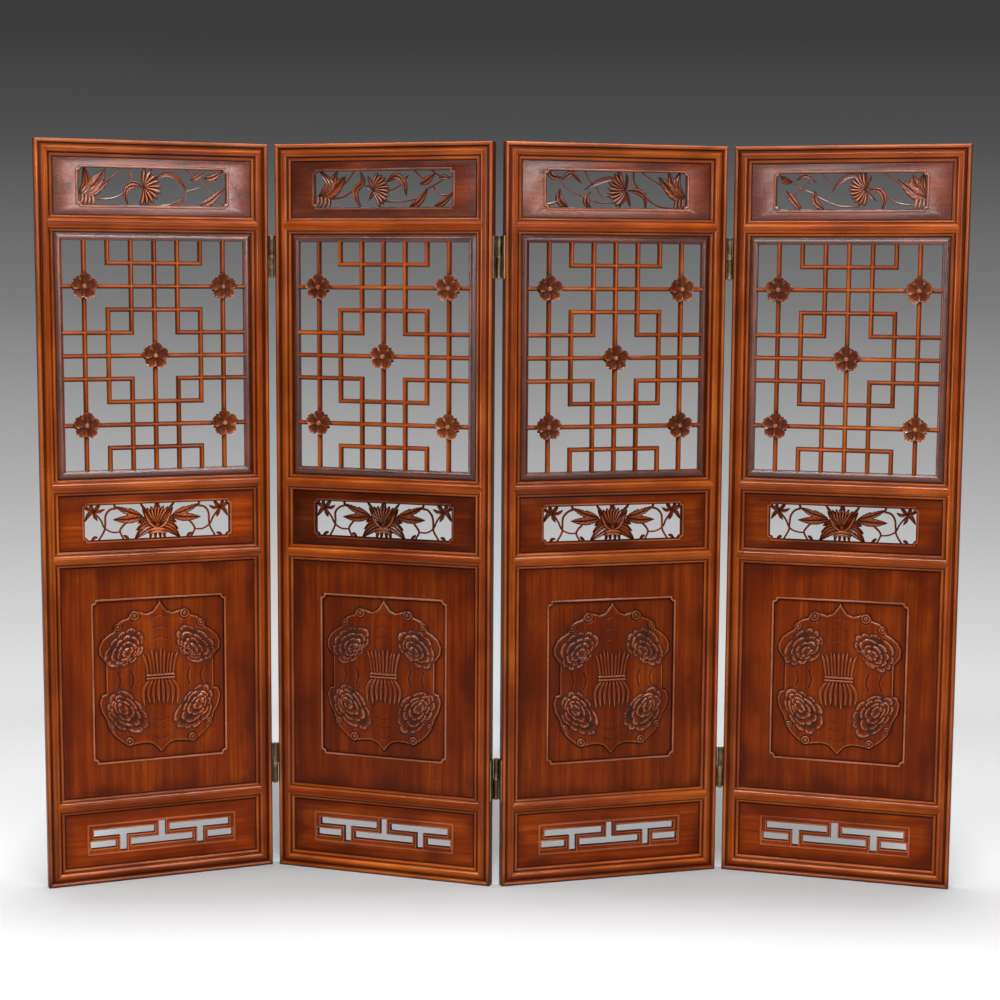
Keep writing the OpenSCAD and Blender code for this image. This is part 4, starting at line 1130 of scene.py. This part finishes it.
def peony_rings(x, z, flower, side, chance):
    """For each ring of petals: nearness to its heart, ruffle, frill, rise and uneven patches in its
    painted light and shade.
    """
    (cx, cz), (long, short) = flower["at"], flower["half"]
    (hx, hz), tilt = flower["heart"], radians(flower["tilt"])
    smallest = PEONY_RINGS[-1][0]
    shapes = []
    for size, lobes, floor in PEONY_RINGS:
        share = (1 - size) / (1 - smallest)
        mx = CENTRE_X + side * (cx + (hx - cx) * share)
        mz = CENTRE_Z + cz + (hz - cz) * share
        u, v = (x - mx) * side, z - mz
        p = u * cos(tilt) + v * sin(tilt)
        q = -u * sin(tilt) + v * cos(tilt)
        turn = np.arctan2(q / short, p / long)
        phase = [chance.uniform(0, 2 * pi) for _ in range(5)]
        bend = turn + 0.22 * np.cos(2 * turn + phase[0])
        ruffle = np.abs(np.cos(lobes * bend / 2 + phase[1]))
        reach = 0.84 + 0.16 * ruffle**0.6 + 0.06 * np.cos(3 * turn + phase[2])
        near = np.hypot(p / long, q / short) / size / reach
        frill = np.cos(3 * lobes * bend + phase[3])
        up = floor + 0.55 * np.cos(2 * turn + phase[4])
        shapes.append((near, ruffle, frill, up, 0.25 * np.cos(3 * turn + phase[4])))
    return shapes


def peony(h, petal_shading, x, z, flower, side, chance):
    """A layered flower: rings of ruffled, uneven petals that step up to its heart, painted lighter
    where they rise and dark between.
    """
    shapes = peony_rings(x, z, flower, side, chance)
    for i, (near, ruffle, frill, up, patch) in enumerate(shapes):
        size = PEONY_RINGS[i][0]
        inner = PEONY_RINGS[i + 1][0] / size if i + 1 < len(shapes) else 0.0
        rise = np.clip((near - inner) / (1 - inner), 0, 1)
        gap = (1 - ruffle) ** 3
        up = up + 2.2 * rise**1.5 - 2.6 * gap * np.sqrt(rise) + 0.45 * frill * rise**2
        edge = ease(1 - near, 0, 0.05 / size)
        np.copyto(h, np.where(near < 1, up * edge + h * (1 - edge), h))
        # Painted light and shade: petals lighter where they rise, dark in the gaps between them.
        tone_shift = 1.4 * rise - 0.62 - 1.4 * gap + 0.3 * frill * rise + patch
        np.copyto(petal_shading, np.where(near < 1, tone_shift, petal_shading))
    h += 1.0 * np.clip(1 - shapes[-1][0] / 0.55, 0, 1)
    # Painted shadow: a dark ring just outside the outer petals.
    petal_shading -= 0.7 * np.exp(-(((shapes[0][0] - 1.06) / 0.06) ** 2))


def tied_bundle(h, x, z, chance):
    """Stalks above a double tie and more below it."""
    for i in range(STALKS_UP):
        share = i / (STALKS_UP - 1) - 0.5
        foot = CENTRE_X + FOOT_UP * share
        top = CENTRE_X + SPREAD_UP * share + chance.uniform(-2, 2)
        high = TOP_Z - 10 * abs(share) + chance.uniform(-7, 3)
        middle = (foot + top) / 2 - 3 * share
        stalk(h, x, z, [(foot, FOOT_UP_Z), (middle, WIDEST_UP_Z), (top, high)],
              WIDTHS_UP, STALK_BASE, 3.2 + chance.uniform(-0.4, 0.4))
    for i in range(STALKS_DOWN):
        share = i / (STALKS_DOWN - 1) - 0.5
        foot, middle = CENTRE_X + FOOT_DOWN * share, CENTRE_X + WIDEST_DOWN * share
        tip = CENTRE_X + SPREAD_DOWN * share + chance.uniform(-2, 2)
        low = TIP_Z + chance.uniform(-3, 9)
        stalk(h, x, z, [(foot, FOOT_DOWN_Z), (middle, WIDEST_DOWN_Z), (tip, low)],
              WIDTHS_DOWN, STALK_BASE, 3.4 + chance.uniform(-0.4, 0.4))
    for low in TIE_ZS:
        tie = [(CENTRE_X - TIE_LEFT, low), (CENTRE_X, low), (CENTRE_X + TIE_RIGHT, low)]
        stalk(h, x, z, tie, TIE_WIDTHS, TIE_BASE, TIE_RISE)


def relief_heights(x, z, chance):
    """Rise over the sunk ground at each grid point, and the peonies' painted light and shade there.
    """
    inset = np.minimum.reduce([x - SUNK_X[0], SUNK_X[1] - x, z - SUNK_Z[0], SUNK_Z[1] - z])
    for cx in SUNK_X:
        for cz in SUNK_Z:
            inset = np.minimum(inset, np.hypot(x - cx, z - cz) - SUNK_CORNER)
    h = np.where(inset < 0, FACE_RISE, 0.0)
    gap = inside_distance(x, z, outline_points())
    plaque = PLAQUE_RISE * ease(gap, *PLAQUE_EDGE)
    plaque = plaque - PLAQUE_DIP * ease(gap, *DIP_FROM) + PLAQUE_DIP * ease(gap, *DIP_TO)
    h = np.where(inset > 2, plaque, h)
    for side in (-1, 1):
        for line, width, depth in GROOVES:
            groove(h, x, z, [(CENTRE_X + side * dx, dz) for dx, dz in line], width, depth)
        for dx, dz, r in CURLS:
            curl(h, x, z, (CENTRE_X + side * dx, dz), r)
    for low, bow in BOWS:
        line = [(CENTRE_X - BOW_REACH, low), (CENTRE_X, low + bow), (CENTRE_X + BOW_REACH, low)]
        groove(h, x, z, line, BOW_W, BOW_DEPTH)
    petal_shading = np.zeros(x.shape)
    for flower in PEONIES:
        for side in (1, -1):
            peony(h, petal_shading, x, z, flower, side, chance)
    tied_bundle(h, x, z, chance)
    return h, petal_shading


def relief_grid(chance):
    """The grid's lines, its points, how raised each is with the peonies' painted light and shade,
    and which lie in the peonies.
    """
    x = np.arange(SUNK_X[0] - RELIEF_MARGIN, SUNK_X[1] + RELIEF_MARGIN + RELIEF_STEP, RELIEF_STEP)
    z = np.arange(SUNK_Z[0] - RELIEF_MARGIN, SUNK_Z[1] + RELIEF_MARGIN + RELIEF_STEP, RELIEF_STEP)
    gx, gz = np.meshgrid(x, z, indexing="ij")
    h, petal_shading = relief_heights(gx, gz, chance)
    h[0, :] = h[-1, :] = h[:, 0] = h[:, -1] = FACE_RISE
    front = upright(np.dstack([gx, gz]), GROUND_Y - h)
    around = sum(np.roll(h, shift, axis) for axis in (0, 1) for shift in (-2, -1, 1, 2)) / 8
    return x, z, front, (h - around) / 0.8 + petal_shading, np.clip(2 * np.abs(petal_shading), 0, 1)


def walled_grid(n, m):
    """Faces of a grid of n by m points, walls from its rim to a flat back, and the rim's points."""
    at = np.arange(n * m).reshape(n, m)
    front = np.dstack([at[:-1, :-1], at[1:, :-1], at[1:, 1:], at[:-1, 1:]]).reshape(-1, 4)
    rim = np.concatenate([at[:, 0], at[-1, 1:], at[-2::-1, -1], at[0, -2:0:-1]])
    back = n * m + np.arange(len(rim))
    walls = zip(np.roll(rim, -1), rim, back, np.roll(back, -1))
    return [*front.tolist(), *walls, back], rim


def make_relief_board(k):
    x, z, points, carved, bloom = relief_grid(random.Random(RELIEF_SEED + k))
    faces, rim = walled_grid(len(x), len(z))
    back = points[rim]
    back[:, 1] = BOARD_BACK
    form = Form(RELIEF_TONE * BOARD_SHADING[k])
    whole = np.vstack([points, back])
    # carved is how raised each point is, with the peonies' painted light and shade in it.
    carved = np.concatenate([carved.reshape(-1), np.zeros(len(rim))])
    form.add(whole, faces, along_z(whole), carved)
    form.polishes[-1][:len(points)] += BLOOM_POLISH * bloom.reshape(-1)
    hole = rectangle(x[0], z[0], x[-1], z[-1])
    plate(form, [field_outline(RELIEF_FIELD), hole], 0.0, along_z)
    form.polish = RIM_POLISH
    loop = notched(SUNK_X[0], SUNK_Z[0], SUNK_X[1], SUNK_Z[1], SUNK_CORNER)
    section = [(-2.6, 13.5), (-2.4, 11.0), (-1.2, 8.4), *bead(-0.6, 3.8, 7.2, RIM_Y, 6), (4.6, 8.3),
               (4.6, 12.0)]
    ring(form, loop, section)
    carved_piece("relief_board", form, k, RELIEF_FIELD, sharp=60.0)


# Key fret board

SLOT_H, FRET_BAR, STEM_W, STEM_X = 18.0, 10.0, 17.0, 96.0
UPPER_SLOT, SHORT_SLOT = 150.0, 62.0
FRET_W, FRET_H = 361.0, 69.0


def fret_outlines(zc):
    low, high = FRET_BAR / 2, FRET_BAR / 2 + SLOT_H
    stem, reach = STEM_W / 2, FRET_H / 2
    beside = stem + FRET_BAR
    lower = STEM_X - beside
    middle = [(-lower, -high), (lower, -high), (lower, -low), (stem, -low), (stem, reach),
              (-stem, reach), (-stem, -low), (-lower, -low)]
    upper = [(beside, low), (STEM_X - stem, low), (STEM_X - stem, -reach), (STEM_X + stem, -reach),
             (STEM_X + stem, low), (beside + UPPER_SLOT, low), (beside + UPPER_SLOT, high),
             (beside, high)]
    end = rectangle(STEM_X + beside, -high, STEM_X + beside + SHORT_SLOT, -low)
    shapes = [middle]
    for side in (-1, 1):
        shapes += [[(side * x, z) for x, z in shape] for shape in (upper, end)]
    return [[(MID_X + x, zc + z) for x, z in shape] for shape in shapes]


def make_fret_board(k):
    form = Form(FRET_TONE * BOARD_SHADING[k])
    zc = middle_of(FRET_FIELD)
    plate(form, [field_outline(FRET_FIELD), *fret_outlines(zc)], 1.3)
    form.polish = RIM_POLISH
    x, z = FRET_W / 2, FRET_H / 2
    loop = rectangle(MID_X - x, zc - z, MID_X + x, zc + z)
    section = [(-2.0, 9.0), (-1.6, 7.8), *bead(-1.2, 5.4, 7.4, RIM_Y, 6), (5.8, 8.2), (6.2, 9.0)]
    ring(form, loop, both_faces(section))
    slot_section = [(-0.2, 9.6), (0.0, 8.4), *bead(0.2, 4.0, 7.8, 6.6, 5), (4.4, 8.6), (4.6, 9.6)]
    for outline in fret_outlines(zc):
        ring(form, outline, both_faces(slot_section))
    carved_piece("key_fret_board", form, k, FRET_FIELD)


def make_brass():
    for name, node in frame["nodes"].items():
        if "leaves" in name or "hinge" in name:
            node.data.materials.clear()
            node.data.materials.append(BRASS)


# Stage: floor, light and camera

FLOOR_R, FLOOR_GLOW = 5.0, 0.14
FLOOR_FADE = [(1.6, 1.0), (3.2, 0.0)]
PAPER, PAPER_IN_SHADOW = ((0.37, 0.37, 0.375), (0.41, 0.41, 0.415)), (0.23, 0.23, 0.235)
# Where the floor's painted shadow begins and ends, in metres from the screen's middle, sideways and
# back
PAST_SIDES, PAST_BACK, BEHIND, BEFORE = (0.95, 1.30), (0.8, 1.6), (0.0, 0.25), (-0.60, -0.15)
SKY = [(0.0, 0.97), (0.14, 0.91), (0.28, 0.80), (0.47, 0.455), (0.665, 0.195), (0.81, 0.082),
       (0.91, 0.046), (1.0, 0.042)]
SKY_LOW, SKY_HIGH = -0.36, 0.16
SKY_LIGHT = 0.15

# Lamps: name, place, what it faces, size in metres and power in watts
LAMPS = [
    ("key", (2.90, -5.5, 2.15), (0, 0, 1.0), (1.7, 1.5), 85),
    ("fill", (-1.55, -5.5, 2.15), (0, 0, 1.0), (1.5, 1.5), 45),
    ("top", (-0.3, -4.0, 5.4), (-0.3, 0, 0.9), (7.6, 0.8), 600),
    ("left", (-4.4, -1.0, 1.5), (0, 0, 1.2), (0.5, 2.8), 65),
    ("overhead", (0, 0.3, 3.4), (0, 0.3, 0), (3.2, 0.6), 180),
]

FOCAL_MM, SENSOR_MM = 70.62, 36.0
CAMERA_AT = (-0.0050, -4.7417, 1.4946)
CAMERA_TILT, CAMERA_ROLL = 83.375, 0.333


def floor_paper():
    """Speckled paper with a painted shadow behind the screen and just before its foot, that glows a
    little and fades out far from it.
    """
    n = Nodes(bpy.data.materials.new("floor_paper"))
    x, y, _ = n.split(n.place())
    away = n.new("ShaderNodeVectorMath", {0: n.place()}, "Value", operation="LENGTH")
    fade = [(at / FLOOR_R, shown) for at, shown in FLOOR_FADE]
    shown = n.ramp(n.math("DIVIDE", away, FLOOR_R), *fade, ease="EASE")
    across, past = 1.0 - n.span(abs(x), *PAST_SIDES), n.span(y, *PAST_BACK)
    # Painted shadow: the paper is darker behind the screen and glows less just before it.
    behind, near = ((n.span(y, *edge) - past) * across for edge in (BEHIND, BEFORE))
    paper = n.mix(n.noise(n.place(), 900, 2), *PAPER)
    n.put(n.shader, "Base Color", n.mix(behind, paper, PAPER_IN_SHADOW))
    n.put(n.shader, "Roughness", 0.9)
    n.put(n.shader, "Alpha", shown)
    n.put(n.shader, "Emission Color", (1, 1, 1, 1))
    n.put(n.shader, "Emission Strength", n.seen() * ((1.0 - near) * FLOOR_GLOW))
    return n.owner


def make_floor():
    bm = bmesh.new()
    bmesh.ops.create_circle(bm, cap_ends=True, segments=64, radius=FLOOR_R)
    mesh = bpy.data.meshes.new("floor")
    bm.to_mesh(mesh)
    bm.free()
    mesh.materials.append(floor_paper())
    linked("floor", mesh)


def make_world():
    """Pale to grey backdrop for what the camera and gloss see, even light for the rest."""
    world = bpy.data.worlds.new("studio")
    bpy.context.scene.world = world
    n = Nodes(world)
    n.tree.nodes.clear()
    up = n.split(n.place("Generated"))[2]
    place = n.new("ShaderNodeMapRange", {"Value": up, "From Min": SKY_LOW, "From Max": SKY_HIGH})
    sky = n.ramp(place, *[(at, (v, v, v * 1.01)) for at, v in SKY])
    light = n.new("ShaderNodeBackground", {"Color": (1, 1, 1, 1), "Strength": SKY_LIGHT})
    backdrop = n.new("ShaderNodeBackground", {"Color": sky})
    mixed = n.new("ShaderNodeMixShader", {0: n.seen(), 1: light, 2: backdrop})
    output = n.tree.nodes.new("ShaderNodeOutputWorld")
    n.put(output, "Surface", mixed)


def softbox(name, place, aim, size, power):
    light = bpy.data.lights.new(name, "AREA")
    light.shape, light.size, light.size_y, light.energy = "RECTANGLE", *size, power
    turn = (Vector(place) - Vector(aim)).to_track_quat("Z", "Y").to_matrix().to_4x4()
    linked(name, light).matrix_world = Matrix.Translation(place) @ turn


def make_camera():
    camera = bpy.data.cameras.new("camera")
    camera.lens, camera.sensor_width = FOCAL_MM, SENSOR_MM
    obj = linked("camera", camera)
    obj.matrix_world = (Matrix.Translation(CAMERA_AT)
                        @ Matrix.Rotation(radians(CAMERA_TILT), 4, "X")
                        @ Matrix.Rotation(radians(CAMERA_ROLL), 4, "Z"))
    bpy.context.scene.camera = obj


def main():
    for k in range(1, 5):
        make_frame(k)
        make_top_board(k)
        make_lattice(k)
        make_flowers(k)
        make_middle_board(k)
        make_relief_board(k)
        make_fret_board(k)
    make_brass()
    make_floor()
    make_world()
    for lamp in LAMPS:
        softbox(*lamp)
    make_camera()
    bpy.context.scene.view_settings.view_transform = "Standard"


main()
